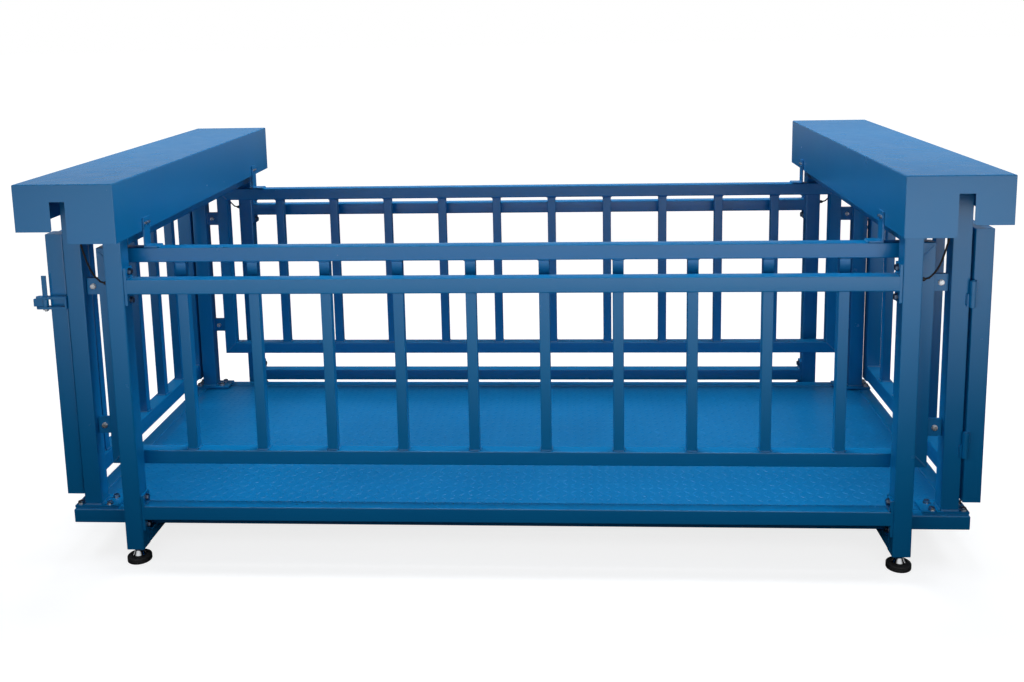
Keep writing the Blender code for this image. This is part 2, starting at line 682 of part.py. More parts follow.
def cable_route(sign):
    """The cable's route: from the load cell's side, round the hanging post and down to the standing post."""
    start_y = CELL_Y + CELL_SIDE / 2 + GAP
    start_z = CELL_BOTTOM + CELL_SIDE / 2
    post_x = OUTER_POST_X + POST
    drop_y = CABLE_DROP_Y
    entry_z = CABLE_ENTRY_Z
    route = [
        (post_x + 0.060, start_y, start_z),
        (post_x + 0.060, start_y + 0.021, start_z - 0.0003),
        (post_x + 0.066, drop_y - 0.135, start_z - 0.003),
        (post_x + 0.082, drop_y - 0.085, start_z - 0.011),
        (post_x + 0.096, drop_y - 0.045, start_z - 0.026),
        (post_x + 0.098, drop_y - 0.016, start_z - 0.051),
        (post_x + 0.092, drop_y - 0.004, start_z - 0.086),
        (post_x + 0.081, drop_y, entry_z + 0.118),
        (post_x + 0.070, drop_y, entry_z + 0.078),
        (post_x + 0.058, drop_y, entry_z + 0.043),
        (post_x + 0.042, drop_y, entry_z + 0.018),
        (post_x + 0.028, drop_y, entry_z + 0.004),
        (post_x + GLAND_LENGTH + 2 * GAP, drop_y, entry_z),
    ]
    return [(x, sign * y, z) for x, y, z in route]


def build_cable(name, sign, parent):
    """The free cable of a load cell, and the gland through which it enters the post."""
    gland_x = OUTER_POST_X + POST + GAP
    gland_end = gland_x + GLAND_LENGTH
    y = sign * CABLE_DROP_Y
    gland = cylinder("cable_gland_" + name, GLAND_RADIUS, (gland_x, y, CABLE_ENTRY_Z),
                     (gland_end, y, CABLE_ENTRY_Z), CABLE_SHEATH, parent, "X", GLAND_SIDES)
    bore = cylinder("gland_bore", CABLE_RADIUS + GAP, (gland_x - WALL, y, CABLE_ENTRY_Z),
                    (gland_end + WALL, y, CABLE_ENTRY_Z), parent=parent, axis="X")
    cut(gland, [bore])
    curve = bpy.data.curves.new("cell_cable_" + name, "CURVE")
    curve.dimensions = "3D"
    curve.bevel_depth = CABLE_RADIUS
    curve.bevel_resolution = 2
    curve.use_fill_caps = True
    points = smooth_route(cable_route(sign), 5 * CABLE_RADIUS)
    spline = curve.splines.new("POLY")
    spline.points.add(len(points) - 1)
    for point, place in zip(spline.points, points):
        point.co = (*place, 1.0)
    curve.materials.append(CABLE_SHEATH)
    obj = bpy.data.objects.new("cell_cable_" + name, curve)
    PARTS.objects.link(obj)
    obj.parent = parent


def build_end(end, turn):
    """One end of the scale. The left end is turned half round, so its local front is the rear."""
    parent = bpy.data.objects.new(end + "_end", None)
    PARTS.objects.link(parent)
    parent.rotation_euler = (0.0, 0.0, turn)
    names = {-1: "front_" + end, 1: "rear_" + end}
    if turn:
        names = {-1: "rear_" + end, 1: "front_" + end}
    for sign, name in names.items():
        build_outer_post(name, sign, parent)
        build_foot(name, sign, parent)
        build_load_cell(name, sign, parent)
        build_hanger_post(name, sign, parent, sign < 0)
        build_strap(name, sign, parent)
        build_cable(name, sign, parent)
    build_side_members(end, parent)
    build_hanger_beam(end, parent)
    build_cover(end, parent)
    build_gate(end, parent)
    build_latch(end, parent)


def build_tie_rail(name, sign, bottom):
    """A rail along the crate between two standing posts, with a bolted plate at each end."""
    y_low, y_high = side_span(sign, OUTER_POST_Y - TIE_SETBACK - RAIL, OUTER_POST_Y - TIE_SETBACK)
    end_x = OUTER_POST_X - GAP
    rail = box("tie_rail_" + name, (-end_x + END_PLATE / 2, y_low, bottom),
               (end_x - END_PLATE / 2, y_high, bottom + RAIL), corner=TUBE_CORNER, along="X")
    middle = bottom + RAIL / 2
    plates = []
    for x_low in (-end_x, end_x - END_PLATE):
        plates.append(
            box("end_plate", (x_low, y_low - WELD_STEP, middle - END_PLATE_HEIGHT / 2),
                (x_low + END_PLATE, y_high + WELD_STEP, middle + END_PLATE_HEIGHT / 2),
                corner=BAR_CORNER, along="X")
        )
    weld(rail, plates)


def build_deck():
    """The deck's welded frame of tubes and its tread plate, which lies inside the edge tubes."""
    half_x = DECK_LENGTH / 2
    half_y = DECK_WIDTH / 2
    frame = mitred_frame("deck_frame", (-half_x, -half_y, DECK_BOTTOM), (half_x, half_y, DECK_TOP),
                         "Z", DECK_TUBE)
    members = []
    pitch = DECK_LENGTH / (CROSS_MEMBERS + 1)
    for number in range(1, CROSS_MEMBERS + 1):
        x_middle = -half_x + number * pitch
        members.append(
            box("cross_member", (x_middle - DECK_TUBE / 2, -half_y + DECK_TUBE / 2, DECK_BOTTOM + WELD_STEP),
                (x_middle + DECK_TUBE / 2, half_y - DECK_TUBE / 2, CROSS_MEMBER_TOP))
        )
    weld(frame, members)
    inset = DECK_TUBE + GAP
    box("tread_plate", (-half_x + inset, -half_y + inset, CROSS_MEMBER_TOP + GAP),
        (half_x - inset, half_y - inset, CROSS_MEMBER_TOP + GAP + TREAD_PLATE))


def build_fence(name, sign):
    """A fence panel: a mitred frame of tube with upright bars, and a tab at each corner for its bolt."""
    y_low, y_high = side_span(sign, HANGER_Y - RAIL, HANGER_Y)
    panel = mitred_frame("fence_" + name, (-FENCE_END, y_low, FENCE_BOTTOM), (FENCE_END, y_high, FENCE_TOP),
                         "Y", RAIL)
    members = []
    y_middle = (y_low + y_high) / 2
    for number in range(BARS):
        x_middle = (number - (BARS - 1) / 2) * BAR_PITCH
        members.append(
            box("fence_bar", (x_middle - BAR / 2, y_middle - BAR / 2, FENCE_BOTTOM + RAIL - 2 * WELD_IN),
                (x_middle + BAR / 2, y_middle + BAR / 2, FENCE_TOP - RAIL + 2 * WELD_IN),
                corner=BAR_CORNER, along="Z")
        )
    tab_y = side_span(sign, HANGER_Y - POST / 2 + GAP, HANGER_Y - POST / 2 + GAP + TAB)
    for side in (-1, 1):
        x_low, x_high = side_span(side, FENCE_END - WELD_IN, HANGER_IN - TAB_END_GAP)
        for middle in TAB_HEIGHTS:
            members.append(
                box("fence_tab", (x_low, tab_y[0], middle - TAB_HEIGHT / 2),
                    (x_high, tab_y[1], middle + TAB_HEIGHT / 2))
            )
    weld(panel, members)


build_end("right", 0.0)
build_end("left", math.pi)
build_deck()
for side_name, side in (("front", -1), ("rear", 1)):
    build_fence(side_name, side)
    build_tie_rail(side_name + "_upper", side, UPPER_TIE_BOTTOM)
    build_tie_rail(side_name + "_lower", side, LOWER_TIE_BOTTOM)
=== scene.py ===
"""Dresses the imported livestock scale: a crate hung on four load cells in a standing frame.

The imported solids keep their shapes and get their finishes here. The fasteners, weld beads,
tread pattern, levelling feet, cables and the fittings of the load cells are built as their own
pieces. All lengths are in metres in the frame of the CAD: X runs along the crate, the front is
at -Y and Z is up. What stands at the right end stands at the left one too, turned half round.
"""

import logging
import math
from collections.abc import Sequence
from dataclasses import dataclass, field
from enum import Enum

import bmesh
import bpy
from mathutils import Matrix, Vector


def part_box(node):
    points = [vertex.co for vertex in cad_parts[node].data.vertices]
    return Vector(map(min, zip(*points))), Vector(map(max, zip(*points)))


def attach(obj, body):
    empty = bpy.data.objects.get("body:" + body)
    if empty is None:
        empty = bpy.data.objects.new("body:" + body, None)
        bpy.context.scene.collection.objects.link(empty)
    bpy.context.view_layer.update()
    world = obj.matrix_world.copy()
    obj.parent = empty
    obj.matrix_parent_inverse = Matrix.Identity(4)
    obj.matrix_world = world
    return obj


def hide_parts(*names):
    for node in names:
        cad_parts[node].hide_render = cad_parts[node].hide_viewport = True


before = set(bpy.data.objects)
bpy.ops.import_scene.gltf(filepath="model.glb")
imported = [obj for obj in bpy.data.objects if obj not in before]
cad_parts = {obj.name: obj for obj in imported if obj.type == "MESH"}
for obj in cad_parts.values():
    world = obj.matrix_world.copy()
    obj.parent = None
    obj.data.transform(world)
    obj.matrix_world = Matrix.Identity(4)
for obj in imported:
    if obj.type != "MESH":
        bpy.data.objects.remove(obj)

Pair = tuple[float, float]
Triple = tuple[float, float, float]
Tree = bpy.types.NodeTree
Socket = bpy.types.NodeSocket

LOG = logging.getLogger("livestock_scale")
CRATE = "frame_and_crate"
MM = 0.001
SIDES = (-1, 1)
X_AXIS = Vector((1.0, 0.0, 0.0))
Y_AXIS = Vector((0.0, 1.0, 0.0))
Z_AXIS = Vector((0.0, 0.0, 1.0))
# The way out of each side of a rectangle that is gone round anticlockwise from its lowest corner.
OUTWARD = (-Y_AXIS, X_AXIS, Y_AXIS, -X_AXIS)
# Where a Mix node that mixes colours has its two colours and its result.
MIX_A, MIX_B, MIX_RESULT = 6, 7, 2


class End(Enum):
    """An end of the scale. Its value is how far it is turned about Z from the right one."""

    RIGHT = 0.0
    LEFT = math.pi

    @property
    def word(self) -> str:
        """The end's name as the solids have it."""
        return self.name.lower()

    @property
    def turn(self) -> Matrix:
        """What carries a piece drawn at the right end to this one."""
        return Matrix.Rotation(self.value, 4, "Z")


class Slot(Enum):
    """The material slots that the finishes name."""

    PAINT = "blue_paint"
    RUBBER = "rubber"
    CHROME = "chrome"
    CELL = "cell_steel"
    SHEATH = "cable_sheath"


def linear(colour: str) -> tuple[float, float, float, float]:
    """Turns an sRGB hex colour into a linear one.

    Args:
        colour: Six hex digits after a hash.

    Returns:
        Red, green, blue and alpha for a colour socket.
    """
    parts = [int(colour[i:i + 2], 16) / 255 for i in (1, 3, 5)]
    red, green, blue = (p / 12.92 if p <= 0.04045 else ((p + 0.055) / 1.055) ** 2.4 for p in parts)
    return red, green, blue, 1.0


def add_node(tree: Tree, kind: str, inputs: dict[str | int, object] | None = None,
             **settings: object) -> bpy.types.Node:
    """Adds a node with its settings, values and links.

    Args:
        tree: The tree that it goes into.
        kind: The node's type name, without the ShaderNode that it starts with.
        inputs: A value, or the socket to link from, for each input by name or number.
        **settings: The node's own properties.

    Returns:
        The node.
    """
    node = tree.nodes.new(f"ShaderNode{kind}")
    for name, value in settings.items():
        setattr(node, name, value)
    for socket, value in (inputs or {}).items():
        if isinstance(value, Socket):
            tree.links.new(value, node.inputs[socket])
        else:
            node.inputs[socket].default_value = value
    return node


def per_metre(size_mm: float) -> float:
    """Gives the texture scale at which one feature is this many millimetres across."""
    return 1.0 / (size_mm * MM)


# Finishes


@dataclass(frozen=True)
class Pattern:
    """A pattern that goes from a low value to a high one.

    It has the width of a feature, the finer ones on it, the part of the pattern over which the
    value goes up, how it is drawn out, and whether it is a lathe's rings and no noise.
    """

    size_mm: float
    detail: float
    span: Pair = (0.0, 1.0)
    stretch: Triple | None = None
    rings: bool = False

    def draw(self, tree: Tree, place: Socket, low: float = 0.0, high: float = 1.0) -> Socket:
        """Draws the pattern.

        Args:
            tree: The material's tree.
            place: Where the pattern takes its place from.
            low: The low value.
            high: The high value.

        Returns:
            The value socket.
        """
        if self.stretch:
            place = add_node(tree, "Mapping", {"Vector": place, "Scale": self.stretch}).outputs[0]
        if self.rings:
            # At a scale of one, a wave goes round once in tau / 20. Here the detail makes it waver.
            texture = add_node(tree, "TexWave",
                               {"Vector": place, "Scale": per_metre(self.size_mm) * math.tau / 20,
                                "Distortion": self.detail}, bands_direction="Z")
        else:
            texture = add_node(tree, "TexNoise",
                               {"Vector": place, "Scale": per_metre(self.size_mm), "Detail": self.detail})
        value = add_node(tree, "MapRange",
                         {"Value": texture.outputs["Fac"], "From Min": self.span[0], "From Max": self.span[1],
                          "To Min": low, "To Max": high})
        return value.outputs["Result"]


@dataclass(frozen=True)
class Tone:
    """A further colour that comes and goes over a finish in a pattern, up to a share."""

    colour: str
    most: float
    pattern: Pattern


def patches(colour: str, most: float, size_mm: float) -> Tone:
    """Gives a tone in patches of this width."""
    return Tone(colour, most, Pattern(size_mm, 3.0, (0.35, 0.65)))


@dataclass(frozen=True)
class Finish:
    """A real surface finish. It is drawn once, and every piece that has it shares it.

    Its tones lie over its colour in turn. Its roughness falls and rises by its spread, in clouds.
    Its grain stands to its height at its strength. Its constant is the name and value of the one
    further socket that the material needs.
    """

    name: str
    colour: str
    roughness: float
    tones: tuple[Tone, ...]
    slot: Slot
    constant: tuple[str, float]
    clouds: Pattern | None = None
    spread: Pair = (0.08, 0.08)
    grain: Pattern | None = None
    strength: float = 0.3
    height_mm: float = 0.05

    def material(self) -> bpy.types.Material:
        """Gives the finish's material, drawn the first time that it is asked for.

        Returns:
            The material.
        """
        found = bpy.data.materials.get(self.name)
        if found:
            return found
        made = bpy.data.materials.new(self.name)
        made.use_nodes = True
        made.diffuse_color = linear(self.colour)
        tree = made.node_tree
        inputs = tree.nodes["Principled BSDF"].inputs
        inputs["Roughness"].default_value = self.roughness
        inputs[self.constant[0]].default_value = self.constant[1]
        inputs["Base Color"].default_value = colour = linear(self.colour)
        place = add_node(tree, "TexCoord").outputs["Object"]
        for tone in self.tones:
            share = tone.pattern.draw(tree, place, 0.0, tone.most)
            mixed = add_node(tree, "Mix", {"Factor": share, MIX_A: colour, MIX_B: linear(tone.colour)},
                             data_type="RGBA")
            colour = mixed.outputs[MIX_RESULT]
        tree.links.new(colour, inputs["Base Color"])
        if self.clouds:
            low, high = self.roughness - self.spread[0], self.roughness + self.spread[1]
            tree.links.new(self.clouds.draw(tree, place, low, high), inputs["Roughness"])
        if self.grain:
            bump = add_node(tree, "Bump", {"Height": self.grain.draw(tree, place), "Strength": self.strength,
                                           "Distance": self.height_mm * MM})
            tree.links.new(bump.outputs["Normal"], inputs["Normal"])
        return made


@dataclass(frozen=True)
class PowderCoat(Finish):
    """Polyester powder coat on mild steel: an even blue skin with a soft gloss and a faint orange peel.

    Orange peel is 2 to 4 mm across on the real coat. It is drawn about three times as coarse,
    because at 3 mm to a pixel it would not show.
    """

    slot: Slot = Slot.PAINT
    constant: tuple[str, float] = ("IOR", 1.58)
    clouds: Pattern | None = Pattern(60.0, 4.0)
    spread: Pair = (0.05, 0.05)
    grain: Pattern | None = Pattern(9.0, 2.0)
    strength: float = 0.35
    height_mm: float = 0.018


@dataclass(frozen=True)
class MouldedRubber(Finish):
    """Black moulded rubber: nearly matt, with a fine spark-eroded grain and a little floor dust.

    The real grain is about 0.2 mm wide. It is drawn six times as coarse to show from near by.
    """

    slot: Slot = Slot.RUBBER
    constant: tuple[str, float] = ("IOR", 1.52)
    grain: Pattern | None = Pattern(1.2, 2.0)
    strength: float = 0.5
    height_mm: float = 0.15


@dataclass(frozen=True)
class ChromePlate(Finish):
    """Bright chrome plate on turned steel: a mirror, with the turning marks just showing under it.

    Real turning marks are under half a millimetre wide. They are drawn ten times as coarse to show.
    """

    slot: Slot = Slot.CHROME
    constant: tuple[str, float] = ("Metallic", 1.0)
    grain: Pattern | None = Pattern(5.0265, 0.6, rings=True)
    strength: float = 0.12
    height_mm: float = 0.03


@dataclass(frozen=True)
class ZincPlate(Finish):
    """Zinc plate on rolled steel: a soft silver with grey clouds where the passivation is thin."""

    slot: Slot = Slot.CHROME
    constant: tuple[str, float] = ("Metallic", 1.0)
    clouds: Pattern | None = Pattern(2.5, 3.0)
    spread: Pair = (0.08, 0.10)


@dataclass(frozen=True)
class NickelPlate(Finish):
    """Satin nickel plate on a milled alloy steel cell: a warm grey, with the long lines of the grinding."""

    slot: Slot = Slot.CELL
    constant: tuple[str, float] = ("Metallic", 1.0)
    clouds: Pattern | None = Pattern(1.5, 2.0, stretch=(0.04, 1.0, 1.0))


@dataclass(frozen=True)
class PvcSheath(Finish):
    """Extruded black PVC: a dull sheen with a faint grain and a trace of dust.

    The real grain is about 0.3 mm wide. It is drawn five times as coarse to show from near by.
    """

    slot: Slot = Slot.SHEATH
    constant: tuple[str, float] = ("IOR", 1.53)
    grain: Pattern | None = Pattern(1.5, 1.0)
    strength: float = 0.25


@dataclass(frozen=True)
class MouldedNylon(Finish):
    """Black moulded nylon: a low gloss with the faint eggshell of the tool.

    The real grain is about 0.15 mm wide. It is drawn six times as coarse to show from near by.
    """

    slot: Slot = Slot.SHEATH
    constant: tuple[str, float] = ("IOR", 1.53)
    grain: Pattern | None = Pattern(0.9, 1.0)


# Hooves and boots leave pale hairlines about 2 mm wide, too fine to show. They are drawn as streaks
# of 14 mm with finer ones in them, drawn out along the deck.
SCUFFS = Tone("#3f93c6", 0.30, Pattern(14.0, 6.0, (0.60, 0.78), (0.22, 1.0, 1.0)))

BLUE_COAT = PowderCoat("powder_coat_on_steel", "#046fab", 0.25, (patches("#0675b0", 0.55, 420.0),))
TREAD_COAT = PowderCoat("powder_coat_on_tread_plate", "#0369a3", 0.34,
                        (patches("#0872ae", 0.55, 420.0), SCUFFS))
WELD_COAT = PowderCoat("powder_coat_on_weld", "#0468a2", 0.36, (patches("#066faa", 0.55, 420.0),),
                       grain=Pattern(5.0, 2.0))
RUBBER = MouldedRubber("moulded_rubber", "#101113", 0.62, (patches("#2a2c2f", 0.6, 12.0),))
CHROME = ChromePlate("chrome_plate_on_steel", "#e4e7ea", 0.10, (patches("#c4c8cd", 0.5, 6.0),))
ZINC = ZincPlate("zinc_plate_on_steel", "#d4d8dc", 0.26, (patches("#a3a8ae", 0.8, 4.0),))
# Painted shade: a darker, bluer copy of the zinc plate for the tie rail bolts, standing in for the dark
# surroundings that they mirror.
SHADED_ZINC = ZincPlate("zinc_plate_with_painted_shade", "#75859a", 0.34, (patches("#4d5b6d", 0.8, 4.0),))
NICKEL = NickelPlate("nickel_plate_on_steel", "#b8b9b5", 0.30, (patches("#9b9c98", 0.7, 25.0),))
SHEATH = PvcSheath("extruded_pvc", "#090a0b", 0.75, (patches("#16171a", 0.5, 18.0),))
NYLON = MouldedNylon("moulded_nylon", "#0f1012", 0.48, (patches("#202226", 0.6, 5.0),))


# Mesh work


@dataclass(frozen=True)
class Bead:
    """The size of a weld bead: half its width, how proud it stands, and the length of one ripple."""

    half_width: float
    height: float
    ripple: float = 0.005


FLUSH_BEAD = Bead(0.0036, 0.0010, 0.007)
FENCE_MITRE = Bead(0.0034, 0.0006, 0.009)
GATE_MITRE = Bead(0.0034, 0.0007, 0.008)
SEAL_BEAD = Bead(0.0030, 0.0012, 0.012)


def shade(bm: bmesh.types.BMesh, degrees: float) -> None:
    """Makes the faces smooth, but for the edges that turn sharply.

    Args:
        bm: The mesh.
        degrees: The turn over which an edge stays sharp.
    """
    for face in bm.faces:
        face.smooth = True
    for edge in bm.edges:
        edge.smooth = len(edge.link_faces) == 2 and edge.calc_face_angle(0.0) < math.radians(degrees)


def arc(middle: Pair, radius: float, first: float, last: float, steps: int) -> list[Pair]:
    """Gives points of an arc for a profile.

    Args:
        middle: Its middle.
        radius: Its radius.
        first: The angle in degrees that it starts at.
        last: The angle that it ends at.
        steps: How many steps it takes.

    Returns:
        The points, with both ends.
    """
    angles = [math.radians(first + (last - first) * step / steps) for step in range(steps + 1)]
    return [(middle[0] + radius * math.cos(a), middle[1] + radius * math.sin(a)) for a in angles]


def corners(low: Sequence[float], high: Sequence[float], z: float) -> list[Triple]:
    """Gives a level rectangle's four corners, anticlockwise from its lowest one."""
    return [(low[0], low[1], z), (high[0], low[1], z), (high[0], high[1], z), (low[0], high[1], z)]


def hexagon_radii(flat: float, steps: int) -> list[float]:
    """Gives the radius of a hexagon at even steps all round, where flat is the least one."""
    offs = [(math.tau * step / steps + math.pi / 6) % (math.pi / 3) - math.pi / 6 for step in range(steps)]
    return [flat / math.cos(off) for off in offs]


def ring(middle: Vector, across: Vector, beside: Vector, radii: Sequence[float],
         turn: float = 0.0) -> list[Vector]:
    """Gives the points of a ring, one at each radius.

    Args:
        middle: The ring's middle.
        across: The way to its first point.
        beside: The way to the point a quarter of the way round.
        radii: How far out each point lies, at even steps all round.
        turn: How far the ring is turned.

    Returns:
        The points.
    """
    angles = [math.tau * step / len(radii) + turn for step in range(len(radii))]
    return [middle + (across * math.cos(a) + beside * math.sin(a)) * r for a, r in zip(angles, radii)]


def place_piece(name: str, data: bpy.types.ID, finish: Finish, body: str,
                stands_for: Sequence[str] = ()) -> bpy.types.Object:
    """Links a mesh or curve as one named piece on a body.

    Args:
        name: The piece's name.
        data: Its mesh or curve.
        finish: Its finish.
        body: The body that carries it.
        stands_for: The CAD nodes that it takes the place of.

    Returns:
        The object.
    """
    data.materials.clear()
    data.materials.append(finish.material())
    obj = bpy.data.objects.new(name, data)
    bpy.context.scene.collection.objects.link(obj)
    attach(obj, body)
    if stands_for:
        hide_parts(*stands_for)
    LOG.info("%s: %s on %s", name, finish.name, body)
    return obj


class Draft:
    """One piece in the making: a mesh that forms are added to, as they stand at the right end."""

    def __init__(self, name: str, end: End = End.RIGHT) -> None:
        """Starts an empty piece of this name for this end."""
        self.name, self.end = name, end
        self.bm = bmesh.new()

    def skin(self, rings: Sequence[Sequence[Vector]]) -> None:
        """Joins rings of equal length by faces, and closes the two ends.

        Args:
            rings: The rings, in order along the form.
        """
        rows = [[self.bm.verts.new(point) for point in points] for points in rings]
        for low, high in zip(rows, rows[1:]):
            for index, start in enumerate(low):
                after = (index + 1) % len(low)
                self.bm.faces.new((start, low[after], high[after], high[index]))
        self.bm.faces.new(list(reversed(rows[0])))
        self.bm.faces.new(rows[-1])

    def turned(self, profile: Sequence[Pair], place: Vector, axis: Vector, steps: int = 24) -> None:
        """Adds a turned form.

        Args:
            profile: Radius and height pairs along the axis, from its foot to its head.
            place: Where height is nought.
            axis: The direction of height.
            steps: How many sides it is turned in.
        """
        across = axis.orthogonal().normalized()
        beside = axis.cross(across)
        self.skin([ring(place + axis * height, across, beside, [radius] * steps)
                   for radius, height in profile])

    def bead(self, start: Sequence[float], end: Sequence[float], outward: Vector, size: Bead) -> None:
        """Adds a weld bead: a low half-round ridge with a ripple for each step of the welder's hand.

        Args:
            start: Where it starts, on the face or on the chord across the corner.
            end: Where it ends.
            outward: The way that it stands proud.
            size: Its size.
        """
        ripple_share, start_share, sides = 0.16, 0.35, 5
        first, sunk = Vector(start), size.height * 0.25
        run = Vector(end) - first
        beside = run.normalized().cross(outward).normalized()
        count = max(4, round(run.length / size.ripple * 3))
        rings = []
        for step in range(count + 1):
            share = step / count
            swell = 1.0 + ripple_share * math.sin(math.tau * step / 3 + 0.6)
            taper = min(1.0, start_share + (1 - start_share) * min(share, 1 - share) * count / 2)
            angles = [math.pi * side / sides for side in range(sides + 1)]
            rings.append([first + run * share
                          + (beside * math.cos(a) * size.half_width * (0.9 + 0.1 * swell)
                             + outward * (math.sin(a) * size.height * swell - sunk)) * taper for a in angles])
        self.skin(rings)

    def fillet(self, start: Sequence[float], end: Sequence[float], first: Vector, second: Vector,
               leg: float) -> None:
        """Adds a weld bead into a square corner.

        Args:
            start: Where the corner's line starts.
            end: Where it ends.
            first: The way that one face runs from the corner.
            second: The way that the other runs.
            leg: How far the bead reaches along each face.
        """
        outward = (first + second).normalized()
        shift = outward * leg * 0.62
        self.bead(Vector(start) + shift, Vector(end) + shift, outward, Bead(leg * 0.72, leg * 0.34))

    def collar(self, low: Pair, high: Pair, level: float, up: Vector, leg: float) -> None:
        """Adds the four beads round the foot or head of an upright square bar.

        Args:
            low: The bar's low X and Y.
            high: Its high X and Y.
            level: The height of the face that it stands on or hangs from.
            up: The way that the bar runs from that face.
            leg: How far the beads reach.
        """
        places = corners(low, high, level)
        for start, end, out in zip(places, places[1:] + places[:1], OUTWARD):
            self.fillet(start, end, out, up, leg)

    def build(self, finish: Finish, body: str = CRATE, stands_for: Sequence[str] = (),
              sharp: float = 35.0) -> None:
        """Makes the piece's object at its end and hangs it on its body.

        Args:
            finish: Its finish.
            body: The body that carries it.
            stands_for: The CAD nodes that it takes the place of.
            sharp: The angle in degrees over which an edge stays sharp.
        """
        bmesh.ops.recalc_face_normals(self.bm, faces=self.bm.faces)
        bmesh.ops.transform(self.bm, matrix=self.end.turn, verts=self.bm.verts)
        shade(self.bm, sharp)
        mesh = bpy.data.meshes.new(self.name)
        self.bm.to_mesh(mesh)
        self.bm.free()
        place_piece(self.name, mesh, finish, body, stands_for)


# Fasteners


@dataclass(frozen=True)
class HexBolt:
    """A hexagon bolt with a washer under its head. The sizes of its nut follow from its thread's."""

    size: float
    head_height: float
    across_flats: float
    washer_radius: float
    washer_height: float = 0.0020

    def head(self, draft: Draft, place: Vector, axis: Vector, turn: float) -> None:
        """Adds the washer and the head on a face.

        Args:
            draft: The piece that it goes into.
            place: The middle of the hole, on the face.
            axis: The way that the head stands out.
            turn: How far the head is turned.
        """
        thick, edge, bore = self.washer_height, 0.0004, self.size * 0.55
        draft.turned([(bore, 0.0), (self.washer_radius, 0.0), (self.washer_radius, thick - edge),
                      (self.washer_radius - edge, thick), (bore, thick)], place, axis)
        self.add_hexagon(draft, place + axis * thick, axis, self.head_height, turn, 0.0)

    def nut(self, draft: Draft, place: Vector, axis: Vector, turn: float) -> None:
        """Adds the nut and the end of the thread on a face.

        Args:
            draft: The piece that it goes into.
            place: The middle of the hole, on the face.
            axis: The way that the nut stands out.
            turn: How far the nut is turned.
        """
        height = self.size * 0.8
        self.add_hexagon(draft, place, axis, height, turn, self.size * 0.12)
        radius, root, flank = self.size / 2, self.size / 2 * 0.88, self.size * 0.05
        level = height * 0.5
        profile = [(radius, level)]
        while level < height + self.size * 0.3 - self.size * 0.08:
            level += self.size * 0.06
            profile += [(root, level), (radius, level + flank)]
            level += flank
        profile += [(radius * 0.8, level + flank)]
        draft.turned(profile, place, axis, 20)

    def add_hexagon(self, draft: Draft, place: Vector, axis: Vector, height: float, turn: float,
                    dish: float) -> None:
        """Adds a hexagon whose corners are turned down at the top, as a forged one's are.

        Args:
            draft: The piece that it goes into.
            place: The middle of its foot.
            axis: The way that it stands.
            height: Its height.
            turn: How far it is turned.
            dish: How deep its top is dished.
        """
        across = axis.orthogonal().normalized()
        beside = axis.cross(across)
        flat = self.across_flats / 2
        radii = hexagon_radii(flat, 24)
        proud = flat / math.cos(math.pi / 6) - flat
        # Each level has the most that its radius may be, which is what turns the corners down.
        levels = ((0.0, math.inf), (height - proud * 0.62, math.inf), (height - proud * 0.12, flat * 1.02),
                  (height, flat * 0.93), (height - dish, flat * 0.60))
        draft.skin([ring(place + axis * level, across, beside, [min(r, most) for r in radii], turn)
                    for level, most in levels])


M6 = HexBolt(0.006, 0.0040, 0.010, 0.0060, 0.0012)
M10 = HexBolt(0.010, 0.0064, 0.016, 0.0100)
M12 = HexBolt(0.012, 0.0075, 0.018, 0.0120, 0.0025)


# Sub-assemblies


@dataclass
class EndPart:
    """A part of one end of the scale, with its sizes as it stands at the right end."""

    end: End

    @property
    def where(self) -> str:
        """The end's name."""
        return self.end.word

    def draft(self, name: str) -> Draft:
        """Starts a piece of this part."""
        return Draft(f"{name}_{self.where}", self.end)


@dataclass
class CornerPart(EndPart):
    """A part of one corner. Its sign is that of its Y as it stands at the right end."""

    sign: int

    @property
    def where(self) -> str:
        """The corner's name, such as front_right."""
        row = "front" if (self.sign < 0) == (self.end is End.RIGHT) else "rear"
        return f"{row}_{self.end.word}"


